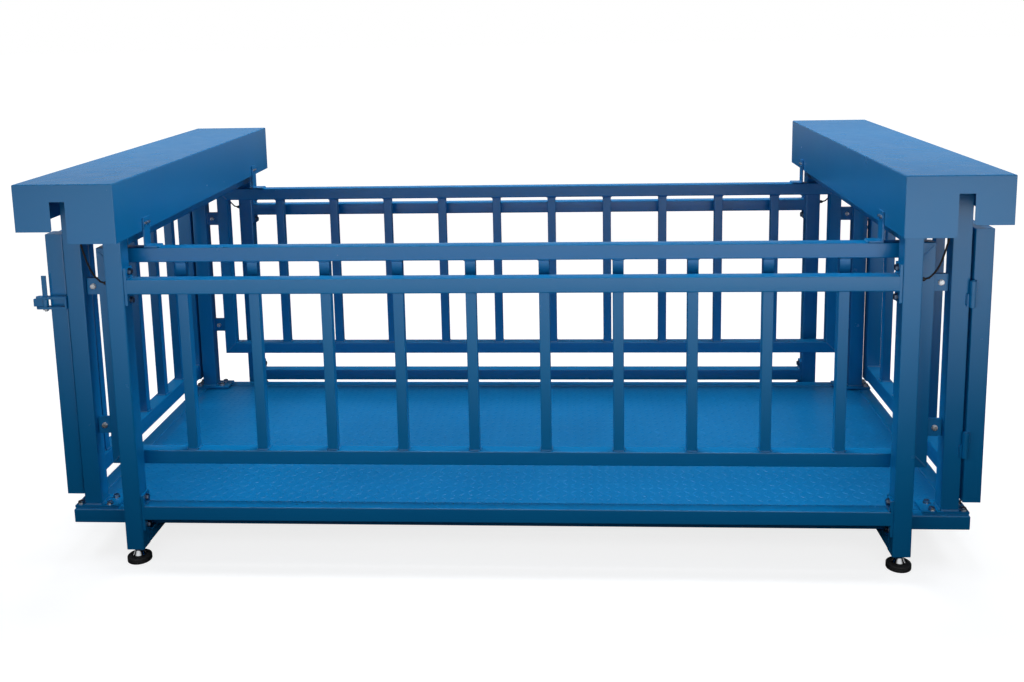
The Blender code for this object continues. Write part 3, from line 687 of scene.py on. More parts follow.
@dataclass
class LevellingFoot(CornerPart):
    """A foot under an outer post: a rubber pad, a chrome cup that swivels on it, and a threaded stem."""

    middle: Pair = (1.260, 0.700)
    hub_radius: float = 0.004
    pad_radius: float = 0.040
    pad_height: float = 0.020
    grooves: Pair = (0.0075, 0.0115)
    groove_depth: float = 0.0009
    dish: float = 0.0012
    cup_radius: float = 0.022
    cup_top_radius: float = 0.013
    cup_height: float = 0.0217
    stem_radius: float = 0.010
    stem_top: float = 0.120
    pitch: float = 0.0025

    @property
    def place(self) -> Vector:
        """The middle of the foot, on the floor."""
        return Vector((self.middle[0], self.sign * self.middle[1], 0.0))

    def build(self) -> None:
        """Builds the pad and the stem."""
        self.build_pad()
        self.build_stem()

    def build_pad(self) -> None:
        """Builds the pad: rounded at its edges, with two shallow grooves round its side."""
        hub, radius, height, groove = self.hub_radius, self.pad_radius, self.pad_height, self.groove_depth
        profile = [(hub, 0.0), (radius - 0.006, 0.0), *arc((radius - 0.003, 0.003), 0.003, -90, 0, 4)]
        for level in self.grooves:
            profile += [(radius, level - groove), (radius - groove, level), (radius, level + groove)]
        profile += [*arc((radius - 0.005, height - 0.005), 0.005, 0, 90, 5),
                    (self.cup_radius + 0.004, height), (self.cup_radius + 0.0025, height - self.dish),
                    (hub, height - self.dish)]
        draft = self.draft("foot_pad_rubber")
        draft.turned(profile, self.place, Z_AXIS, 64)
        draft.build(RUBBER, stands_for=[f"foot_pad_{self.where}"])

    def build_stem(self) -> None:
        """Builds the cup, and the stem as a helix: its radius follows the thread at each height and angle."""
        base = self.pad_height - 0.0010
        top = base + self.cup_height
        cup, neck = self.cup_radius, self.cup_top_radius
        draft = self.draft("foot_stem_chrome")
        draft.turned([(self.hub_radius, base), (cup - 0.0008, base), (cup, base + 0.0008),
                      (cup, base + 0.0035), (cup - 0.0012, base + 0.0050), (neck + 0.0015, top - 0.0030),
                      (neck, top - 0.0012), (neck - 0.0012, top), (self.stem_radius * 0.8, top)],
                     self.place, Z_AXIS, 48)
        steps, rows_a_turn, depth, bottom = 24, 4, 0.61 * self.pitch, top - 0.001
        count = round((self.stem_top - bottom) / self.pitch * rows_a_turn)
        rings = []
        for row in range(count + 1):
            level = bottom + (self.stem_top - bottom) * row / count
            phases = [(level / self.pitch - step / steps) % 1.0 for step in range(steps)]
            radii = [self.stem_radius - depth * abs(2 * phase - 1) for phase in phases]
            rings.append(ring(self.place + Z_AXIS * level, X_AXIS, Y_AXIS, radii))
        draft.skin(rings)
        draft.build(CHROME, stands_for=[f"foot_stem_{self.where}"], sharp=30.0)


@dataclass
class Steelwork:
    """The tubes, plates and sheets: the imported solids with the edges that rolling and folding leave."""

    radii: tuple[tuple[str, float], ...] = (
        ("outer_post", 0.0050), ("top_side_beam", 0.0050), ("lower_side_rail", 0.0040), ("tie_rail", 0.0045),
        ("hanger_post", 0.0050), ("hanger_beam", 0.0050), ("deck_frame", 0.0045), ("fence", 0.0040),
        ("cover_strap", 0.0008), ("cover", 0.0030), ("gate", 0.0040), ("latch_bracket", 0.0015),
        ("latch_lever", 0.0015),
    )
    steps: int = 3
    least_turn: float = math.radians(55.0)
    # An edge is rounded where it and the faces beside it reach further than this many radii.
    least_reach: float = 2.6

    def build(self) -> None:
        """Builds the rounded piece of each node that has an edge radius."""
        for node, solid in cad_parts.items():
            radius = next((r for start, r in self.radii if node.startswith(start)), None)
            if radius:
                self.build_piece(node, solid.data, radius)

    def build_piece(self, node: str, solid: bpy.types.Mesh, radius: float) -> None:
        """Builds one node's piece.

        Args:
            node: The node that it stands for.
            solid: The node's mesh.
            radius: How far its outer edges are rounded.
        """
        bm = bmesh.new()
        bm.from_mesh(solid)
        bmesh.ops.remove_doubles(bm, verts=bm.verts, dist=1e-6)
        bmesh.ops.dissolve_limit(bm, angle_limit=math.radians(0.5), verts=bm.verts, edges=bm.edges)
        edges = [edge for edge in bm.edges if self.is_rounded(edge, radius)]
        bmesh.ops.bevel(bm, geom=edges, offset=radius, segments=self.steps, profile=0.5, affect="EDGES",
                        clamp_overlap=True)
        bmesh.ops.remove_doubles(bm, verts=bm.verts, dist=1e-5)
        shade(bm, 40.0)
        mesh = bpy.data.meshes.new(f"{node}_steel")
        bm.to_mesh(mesh)
        bm.free()
        body = node if node.startswith(("gate", "latch_lever")) else CRATE
        piece = place_piece(f"{node}_steel", mesh, BLUE_COAT, body, [node])
        piece.modifiers.new("flat_faces_stay_flat", "WEIGHTED_NORMAL").keep_sharp = True

    def is_rounded(self, edge: bmesh.types.BMEdge, radius: float) -> bool:
        """Tells whether an edge is an outer one between two faces that are wide enough to round it.

        Args:
            edge: The edge.
            radius: How far it would be rounded.

        Returns:
            Whether it is rounded.
        """
        if len(edge.link_faces) != 2 or edge.calc_face_angle_signed() < self.least_turn:
            return False
        start, along = edge.verts[0].co, (edge.verts[1].co - edge.verts[0].co).normalized()
        reaches = [max(((v.co - start) - along * (v.co - start).dot(along)).length for v in face.verts)
                   for face in edge.link_faces]
        return min(reaches) >= radius * self.least_reach and edge.calc_length() > radius * self.least_reach


@dataclass
class TreadPlate:
    """The deck's checkered plate: 5 mm steel with rolled lugs that lie crosswise in turn."""

    pitch: float = 0.030
    lug_length: float = 0.032
    lug_width: float = 0.0095
    lug_height: float = 0.0011
    lug_point: float = 0.35
    lug_sunk: float = 0.0003
    border: float = 0.012
    sides: int = 10
    verts: list[Triple] = field(default_factory=list)
    faces: list[list[int]] = field(default_factory=list)

    def build(self) -> None:
        """Builds the plate with its lugs, and the seal weld round it."""
        low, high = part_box("tread_plate")
        self.verts += corners(low, high, low.z) + corners(low, high, high.z)
        self.faces += [[3, 2, 1, 0], [4, 5, 6, 7], [0, 1, 5, 4], [1, 2, 6, 5], [2, 3, 7, 6], [3, 0, 4, 7]]
        columns, rows = (int((size - 2 * self.border) / self.pitch)
                         for size in (high.x - low.x, high.y - low.y))
        for column in range(columns):
            for row in range(rows):
                x = (low.x + high.x) / 2 + (column - (columns - 1) / 2) * self.pitch
                y = (low.y + high.y) / 2 + (row - (rows - 1) / 2) * self.pitch
                self.add_lug(x, y, high.z, 45.0 if (column + row) % 2 else -45.0)
        mesh = bpy.data.meshes.new("tread_plate_lugs")
        mesh.from_pydata(self.verts, [], self.faces)
        mesh.shade_smooth()
        mesh.set_sharp_from_angle(angle=math.radians(25))
        place_piece("checkered_tread_plate", mesh, TREAD_COAT, CRATE, ["tread_plate"])
        seal = Draft("tread_plate_seal_weld")
        edge = [Vector(corner) for corner in corners(low, high, high.z)]
        for start, end, out in zip(edge, edge[1:] + edge[:1], OUTWARD):
            shift = -out * 0.0008 + Z_AXIS * 0.0004
            seal.bead(start + shift, end + shift, (Z_AXIS - out).normalized(), SEAL_BEAD)
        seal.build(WELD_COAT)

    def add_lug(self, x: float, y: float, z: float, degrees: float) -> None:
        """Adds one lug: pointed at both ends, crowned in the middle, its foot sunk in the plate.

        Args:
            x: Its middle along the crate.
            y: Its middle across the crate.
            z: The height of the plate's face.
            degrees: How far it is turned.
        """
        first, sides = len(self.verts), self.sides
        cos, sin = math.cos(math.radians(degrees)), math.sin(math.radians(degrees))
        for share, level in ((1.0, -self.lug_sunk), (0.62, self.lug_height * 0.8), (0.25, self.lug_height)):
            for angle in (math.tau * side / sides for side in range(sides)):
                along = math.cos(angle) * self.lug_length / 2 * share
                across = math.sin(angle) * abs(math.sin(angle)) ** self.lug_point * self.lug_width / 2 * share
                self.verts.append((x + along * cos - across * sin, y + along * sin + across * cos, z + level))
        for row in (first, first + sides):
            for side in range(sides):
                after = (side + 1) % sides
                self.faces.append([row + side, row + after, row + sides + after, row + sides + side])
        self.faces.append([first + 2 * sides + side for side in range(sides)])


@dataclass
class Fence:
    """The weld beads of a fence panel of ten upright bars. Its sign is that of its Y."""

    side: str
    sign: int
    bars: int = 10
    pitch: float = 0.240
    overhang: float = 0.040
    bar: float = 0.035
    rail: float = 0.050
    middle_y: float = 0.605
    tab_heights: Pair = (0.441, 0.928)
    tab_height: float = 0.056
    tab_faces: Pair = (0.6003, 0.6083)
    leg: float = 0.0045
    tab_stop: float = 0.003
    mitre_stops: Pair = (0.004, 0.002)

    def build(self) -> None:
        """Builds the beads round the bars, at the tabs and along the mitres."""
        low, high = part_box(f"fence_{self.side}")
        y, half = self.sign * self.middle_y, self.bar / 2
        end_x = (self.bars + 1) * self.pitch / 2 + self.overhang
        draft = Draft(f"fence_welds_{self.side}")
        for number in range(self.bars):
            x = (number - (self.bars - 1) / 2) * self.pitch
            for level, up in ((low.z + self.rail, Z_AXIS), (high.z - self.rail, -Z_AXIS)):
                draft.collar((x - half, y - half), (x + half, y + half), level, up, self.leg)
        for turn in SIDES:
            for middle in self.tab_heights:
                for face, out in zip(self.tab_faces, SIDES):
                    foot = middle - self.tab_height / 2 + self.tab_stop
                    start = Vector((turn * end_x, self.sign * face, foot))
                    draft.fillet(start, start + Z_AXIS * (self.tab_height - 2 * self.tab_stop),
                                 X_AXIS * turn, Y_AXIS * (self.sign * out), self.leg)
            outer, inner = self.mitre_stops[0], self.rail - self.mitre_stops[1]
            for level, up in ((low.z, 1), (high.z, -1)):
                for out in SIDES:
                    face = y + out * self.rail / 2
                    draft.bead((turn * (end_x - outer), face, level + up * outer),
                               (turn * (end_x - inner), face, level + up * inner), Y_AXIS * out, FENCE_MITRE)
        draft.build(WELD_COAT)


@dataclass
class Gate(EndPart):
    """The weld beads of a gate of five upright bars."""

    bars: int = 5
    bar: float = 0.035
    post: float = 0.060
    leg: float = 0.0045
    inset: float = 0.006
    faces_x: Pair = (1.479, 1.539)
    stiles_y: Pair = (-0.630, 0.610)
    corner_stop: float = 0.004
    mitre_stop: float = 0.003
    mitre_sunk: float = 0.0005

    def build(self) -> None:
        """Builds the beads round the bars, in the frame's corners and along its mitres."""
        (low_x, high_x), (low_y, high_y) = self.faces_x, self.stiles_y
        low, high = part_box(f"gate_{self.where}")
        draft = self.draft("gate_welds")
        inner_low, inner_high = low_y + self.post, high_y - self.post
        pitch = (inner_high - inner_low + self.bar) / (self.bars + 1)
        middle, half = (low_x + high_x) / 2, self.bar / 2
        rails = ((low.z + self.inset + self.post, Z_AXIS), (high.z - self.inset - self.post, -Z_AXIS))
        for number in range(1, self.bars + 1):
            y = inner_low - half + number * pitch
            for level, up in rails:
                draft.collar((middle - half, y - half), (middle + half, y + half), level, up, self.leg)
        for level, up in rails:
            for y, away in ((inner_low, Y_AXIS), (inner_high, -Y_AXIS)):
                draft.fillet((low_x + self.corner_stop, y, level), (high_x - self.corner_stop, y, level),
                             away, up, self.leg)
                for face, outward in ((low_x + self.mitre_sunk, -X_AXIS), (high_x - self.mitre_sunk, X_AXIS)):
                    edge, reach = Vector((face, y, level)), self.post - self.mitre_stop
                    draft.bead(edge - up * self.mitre_stop, edge - up * reach, outward, GATE_MITRE)
        draft.build(WELD_COAT, f"gate_{self.where}")


@dataclass
class Hinge(EndPart):
    """The two weld-on barrel hinges of a gate: the heads of their pins, and the beads on their strips."""

    axis: Pair = (1.4745, -0.6403)
    post_face: float = -0.630
    half: float = 0.0425
    heights: Pair = (0.3940, 0.8976)
    strip_reach: float = 0.0145
    head_radius: float = 0.0075
    head_height: float = 0.0032
    leg: float = 0.0040
    stop: float = 0.002

    def build(self) -> None:
        """Builds the beads of the fixed and the moving halves, and the pins' heads."""
        fixed, moving, pins = (self.draft(name) for name in ("hinge_post_welds", "hinge_gate_welds",
                                                              "hinge_pin_heads"))
        foot = 0.0005
        dome = [(self.head_radius - 0.0004, 0.0), (self.head_radius, foot)]
        dome += [(self.head_radius * math.cos(a), foot + self.head_height * math.sin(a))
                 for a in map(math.radians, (20, 40, 60, 78))]
        for middle in self.heights:
            for draft, side, low in ((fixed, -1, middle - self.half), (moving, 1, middle)):
                start = Vector((self.axis[0] + side * self.strip_reach, self.post_face, low + self.stop))
                draft.fillet(start, start + Z_AXIS * (self.half - 2 * self.stop), X_AXIS * side, -Y_AXIS,
                             self.leg)
            for level, up in ((middle + self.half + 0.0006, Z_AXIS), (middle - self.half - 0.0003, -Z_AXIS)):
                pins.turned(dome, Vector((*self.axis, level)), up, 28)
        fixed.build(WELD_COAT)
        moving.build(WELD_COAT, f"gate_{self.where}")
        pins.build(BLUE_COAT)


@dataclass
class Latch(EndPart):
    """A gate latch: the beads on its bracket, and the washer and split pin that keep its lever."""

    back_x: float = 1.4703
    inner_y: float = 0.600
    post_y: float = 0.630
    height: float = 0.8776
    half_height: float = 0.0210
    lever: Pair = (1.546, 0.626)
    pin_radius: float = 0.005
    wire: float = 0.0011
    leg: float = 0.0042

    def build(self) -> None:
        """Builds the bracket's beads, then the pin's end under the lower lug, with washer and split pin."""
        draft = self.draft("latch_welds")
        x, y = self.back_x, self.inner_y
        low, high = self.height - self.half_height, self.height + self.half_height
        for level, up in ((low, -Z_AXIS), (high, Z_AXIS)):
            draft.fillet((x, y + 0.001, level), (x, self.post_y - 0.002, level), up, X_AXIS, self.leg)
        draft.fillet((x, y, low + 0.001), (x, y, high - 0.001), -Y_AXIS, X_AXIS, self.leg)
        draft.build(WELD_COAT)
        draft = self.draft("latch_pin_end")
        place, r, wire = Vector((*self.lever, low)), self.pin_radius, self.wire
        washer = [(r * 1.05, 0.0002), (r * 1.9, 0.0002), (r * 1.9, 0.0017), (r * 1.05, 0.0017)]
        draft.turned(washer, place, -Z_AXIS, 28)
        draft.turned([(r, 0.0015), (r, 0.0085), (r - 0.0010, 0.0095)], place, -Z_AXIS)
        middle = place - Z_AXIS * 0.0048
        for side, reach in ((-1, 0.0085), (1, 0.0105)):
            draft.turned([(wire, 0.0), (wire, reach - 0.0006), (wire * 0.5, reach)],
                         middle + Y_AXIS * side * wire * 0.6, X_AXIS, 12)
        eye = [(wire * 2.2, -0.0085), (wire * 2.5, -0.0070), (wire * 1.5, -0.0052)]
        draft.turned(eye, middle, X_AXIS, 16)
        draft.build(ZINC, f"latch_lever_{self.where}")


@dataclass
class StandingFrame(CornerPart):
    """The bolts and weld beads that join an outer post to its side beam, lower rail and two tie rails."""

    post_x: Pair = (1.230, 1.290)
    post_y: Pair = (0.670, 0.730)
    beam: Pair = (1.080, 1.180)
    low_rail: Pair = (0.050, 0.090)
    tie_middles: Pair = (0.953, 0.178)
    tie_half: float = 0.025
    plate_face: float = 1.2217
    bolt_rise: float = 0.047
    leg: float = 0.0050
    flush_stop: float = 0.004
    corner_stop: float = 0.005
    plate_stop: float = 0.003

    def build(self) -> None:
        """Builds the four bolts, the beads of beam and rail, and those of the tie rails' end plates."""
        x, y = self.plate_face, self.sign * (self.post_y[0] + self.post_y[1]) / 2
        bolts = self.draft("tie_rail_bolts")
        for number, middle in enumerate(self.tie_middles):
            for rise in (-self.bolt_rise, self.bolt_rise):
                # No two heads were done up to the same angle.
                M12.head(bolts, Vector((x, y, middle + rise)), -X_AXIS, 0.3 + number * 0.7 + rise * 9)
        # These bolts' darker zinc is painted shade.
        bolts.build(SHADED_ZINC)
        welds = self.draft("standing_frame_welds")
        (low_x, high_x), inner = self.post_x, self.sign * self.post_y[0]
        half, stop = self.tie_half - self.plate_stop, self.flush_stop
        for face, outward in ((low_x, -X_AXIS), (high_x, X_AXIS)):
            for low, high in (self.beam, self.low_rail):
                welds.bead((face, inner, low + stop), (face, inner, high - stop), outward, FLUSH_BEAD)
        for level, up in ((self.beam[0], -Z_AXIS), (self.low_rail[1], Z_AXIS)):
            welds.fillet((low_x + self.corner_stop, inner, level), (high_x - self.corner_stop, inner, level),
                         Y_AXIS * -self.sign, up, self.leg)
        for middle in self.tie_middles:
            for up in SIDES:
                level = middle + up * self.tie_half
                welds.fillet((x, y - half, level), (x, y + half, level), -X_AXIS, Z_AXIS * up, self.leg)
        welds.build(WELD_COAT)


@dataclass
class HangingPost(CornerPart):
    """The bolts and weld beads of one hanging post: base plate, fence tabs and beam."""

    x: Pair = (1.410, 1.470)
    y: Pair = (0.570, 0.630)
    plate_top: float = 0.1633
    bolts_x: Pair = (1.384, 1.4855)
    bolts_y: Pair = (0.571, 0.624)
    beam_bottom: float = 1.2453
    tab_x: float = 1.386
    tab_heights: Pair = (0.441, 0.928)
    tab_half: float = 0.028
    tab_y: Pair = (0.592, 0.600)
    bolt_face: float = 0.6083
    leg: float = 0.0050
    tab_stop: float = 0.003
    stop: float = 0.004

    def build(self) -> None:
        """Builds the four bolts of the plate and the two of the tabs, then the beads."""
        bolts = self.draft("hanger_post_bolts")
        for number, (x, y) in enumerate((x, y) for x in self.bolts_x for y in self.bolts_y):
            M12.head(bolts, Vector((x, self.sign * y, self.plate_top)), Z_AXIS, 0.25 + number * 0.6)
        out = Y_AXIS * self.sign
        for number, height in enumerate(self.tab_heights):
            M10.head(bolts, Vector((self.tab_x, self.sign * self.bolt_face, height)), out, 0.2 + number)
            M10.nut(bolts, Vector((self.tab_x, self.sign * self.tab_y[0], height)), -out, 0.5)
        bolts.build(ZINC)
        welds = self.draft("hanger_post_welds")
        (low_x, high_x), bottom, inner = self.x, self.beam_bottom, self.sign * self.y[0]
        low_y, high_y = sorted((inner, self.sign * self.y[1]))
        welds.collar((low_x, low_y), (high_x, high_y), self.plate_top, Z_AXIS, self.leg)
        for height in self.tab_heights:
            for y, way in zip(self.tab_y, SIDES):
                reach = self.tab_half - self.tab_stop
                start = Vector((low_x, self.sign * y, height - reach))
                welds.fillet(start, start + Z_AXIS * 2 * reach, -X_AXIS, out * way, self.leg * 0.9)
        welds.fillet((low_x + self.stop, inner, bottom), (high_x - self.stop, inner, bottom), -out, -Z_AXIS,
                     self.leg)
        for face, outward in ((low_x, -X_AXIS), (high_x, X_AXIS)):
            welds.bead((face, low_y + self.stop, bottom), (face, high_y - self.stop, bottom), outward,
                       FLUSH_BEAD)
        welds.build(WELD_COAT)


@dataclass
class CoverStrap(CornerPart):
    """The two small bolts of a cover strap, and the beads that hold its foot to the fence."""

    face: float = 1.1897
    back: float = 1.1947
    skirt: float = 1.1970
    foot: float = 1.1497
    middle_y: float = 0.605
    half_y: float = 0.025
    spread: float = 0.0130
    bolt_height: float = 1.1430
    rail_top: float = 1.0630
    leg: float = 0.0042
    stop: float = 0.004

    def build(self) -> None:
        """Builds the strap's bolts and beads."""
        y = self.sign * self.middle_y
        bolts = self.draft("cover_strap_bolts")
        for side in SIDES:
            bolt_y = y + side * self.spread
            M6.head(bolts, Vector((self.face, bolt_y, self.bolt_height)), -X_AXIS, 0.4 + side)
            M6.nut(bolts, Vector((self.skirt, bolt_y, self.bolt_height)), X_AXIS, 0.1)
        bolts.build(ZINC)
        welds = self.draft("cover_strap_welds")
        for x, away in ((self.foot, -X_AXIS), (self.back, X_AXIS)):
            start = Vector((x, y - self.half_y + self.stop, self.rail_top))
            welds.fillet(start, start + Y_AXIS * (2 * (self.half_y - self.stop)), away, Z_AXIS, self.leg)
        welds.build(WELD_COAT)


@dataclass
class LoadCellFittings(CornerPart):
    """What sits on a load cell: its two cap screws, the sealed gauge covers and the cable's boot."""

    middle_y: float = 0.480
    pocket_y: float = 0.014
    top: float = 1.2303
    middle_z: float = 1.2113
    gauge_x: float = 1.347
    screws_x: Pair = (1.2475, 1.2725)
    screw_radius: float = 0.0090
    screw_height: float = 0.0120
    screw_rim: float = 0.0010
    socket: float = 0.0048
    washer: tuple[Pair, ...] = ((0.0062, 0.0), (0.0105, 0.0), (0.0110, 0.0004), (0.0110, 0.0016),
                                (0.0062, 0.0018))
    seal: tuple[Pair, ...] = ((0.0105, 0.0), (0.0112, 0.0006), (0.0112, 0.0016), (0.0100, 0.0021),
                              (0.0088, 0.0012), (0.0070, 0.0018), (0.0052, 0.0012), (0.0030, 0.0017))
    exit_x: float = 1.350
    ribs: int = 5
    rib_pitch: float = 0.0034
    rib_depth: float = 0.0007

    def build(self) -> None:
        """Builds the screws, with rounded rims and sunk sockets, the seals on both sides and the boot."""
        y = self.sign * self.middle_y
        screws = self.draft("load_cell_screws")
        steps, radius, height = 36, self.screw_radius, self.screw_height
        socket = hexagon_radii(self.socket, steps)
        rings = ((0.0, [radius] * steps), (height - self.screw_rim, [radius] * steps),
                 (height, [radius - self.screw_rim] * steps), (height, socket), (height * 0.45, socket))
        for x in self.screws_x:
            place = Vector((x, y, self.top))
            screws.turned(self.washer, place, Z_AXIS, 28)
            base = place + Z_AXIS * self.washer[-1][1]
            screws.skin([ring(base + Z_AXIS * level, X_AXIS, Y_AXIS, radii) for level, radii in rings])
        screws.build(ZINC)
        seals = self.draft("load_cell_seals")
        for side in SIDES:
            # On the side that the cable leaves by, the seal makes room for the boot.
            x = self.gauge_x - 0.016 if side == self.sign else self.gauge_x + 0.003
            seals.turned(self.seal, Vector((x, y + side * self.pocket_y, self.middle_z)), Y_AXIS * side, 32)
        seals.build(NICKEL)
        boot = self.draft("cable_boot")
        profile = [(0.0062, 0.0), (0.0066, 0.0008), (0.0066, 0.0060)]
        for rib in range(self.ribs):
            level, radius = 0.0070 + rib * self.rib_pitch, 0.0060 - rib * 0.00042
            profile += [(radius, level), (radius, level + 0.0020), (radius - self.rib_depth, level + 0.0024),
                        (radius - self.rib_depth, level + 0.0032)]
        profile += [(0.0036, 0.0250)]
        start = Vector((self.exit_x, self.sign * (self.middle_y + self.pocket_y), self.middle_z))
        boot.turned(profile, start, Y_AXIS * self.sign, 28)
        boot.build(NYLON)


@dataclass
class CableGland(CornerPart):
    """A nylon gland in the outer post: a hexagon foot and a ribbed dome nut round the cable."""

    face: float = 1.2901
    y: float = 0.700
    z: float = 0.962
    foot: HexBolt = HexBolt(0.006, 0.0048, 0.0150, 0.009)
    steps: int = 48
    # The radius, the level and the height of the ribs of each ring of the dome.
    dome: tuple[Triple, ...] = (
        (0.0064, 0.0044, 0.0), (0.0064, 0.0056, 0.0004), (0.0064, 0.0110, 0.0004), (0.0060, 0.0128, 0.0002),
        (0.0052, 0.0150, 0.0), (0.0042, 0.0168, 0.0), (0.0034, 0.0174, 0.0), (0.0031, 0.0164, 0.0),
    )

    def build(self) -> None:
        """Builds the gland."""
        draft = self.draft("gland")
        place = Vector((self.face, self.sign * self.y, self.z))
        self.foot.add_hexagon(draft, place, X_AXIS, self.foot.head_height, 0.0, 0.0)
        draft.skin([ring(place + X_AXIS * level, Y_AXIS, Z_AXIS,
                         [radius + (rib if step % 4 < 2 else 0.0) for step in range(self.steps)])
                    for radius, level, rib in self.dome])
        draft.build(NYLON, stands_for=[f"cable_gland_{self.where}"])


@dataclass
class CellCable(CornerPart):
    """A load cell's cable: from the cell, round the hanging post and down into the standing post."""

    diameter: float = 0.006
    spacing: float = 0.015
    route: tuple[Triple, ...] = (
        (1.350, 0.4993, 1.2113), (1.350, 0.5203, 1.2110), (1.356, 0.565, 1.2083), (1.372, 0.615, 1.2003),
        (1.386, 0.655, 1.1853), (1.388, 0.684, 1.1603), (1.382, 0.696, 1.1253), (1.371, 0.700, 1.080),
        (1.360, 0.700, 1.040), (1.348, 0.700, 1.005), (1.332, 0.700, 0.980), (1.318, 0.700, 0.966),
        (1.3029, 0.700, 0.962),
    )

    def points(self) -> list[Vector]:
        """Gives the points of the smooth curve through the route.

        Returns:
            The points, from the cell to the post.
        """
        places = [self.end.turn @ Vector((x, self.sign * y, z)) for x, y, z in self.route]
        padded = [2 * places[0] - places[1], *places, 2 * places[-1] - places[-2]]
        made = []
        for before, start, finish, after in zip(padded, padded[1:], padded[2:], padded[3:]):
            count = max(1, round((finish - start).length / self.spacing))
            for t in (step / count for step in range(count)):
                made.append(0.5 * (2 * start + (finish - before) * t
                                   + (2 * before - 5 * start + 4 * finish - after) * t ** 2
                                   + (3 * start - before - 3 * finish + after) * t ** 3))
        return [*made, places[-1]]

    def build(self) -> None:
        """Builds the cable."""
        points = self.points()
        curve = bpy.data.curves.new(f"cable_{self.where}", "CURVE")
        curve.dimensions = "3D"
        curve.bevel_depth = self.diameter / 2
        curve.bevel_resolution = 5
        curve.use_fill_caps = True
        spline = curve.splines.new("POLY")
        spline.points.add(len(points) - 1)
        for point, place in zip(spline.points, points):
            point.co = (*place, 1.0)
        spline.use_smooth = True
        cable = place_piece(f"cable_{self.where}", curve, SHEATH, CRATE, [f"cell_cable_{self.where}"])


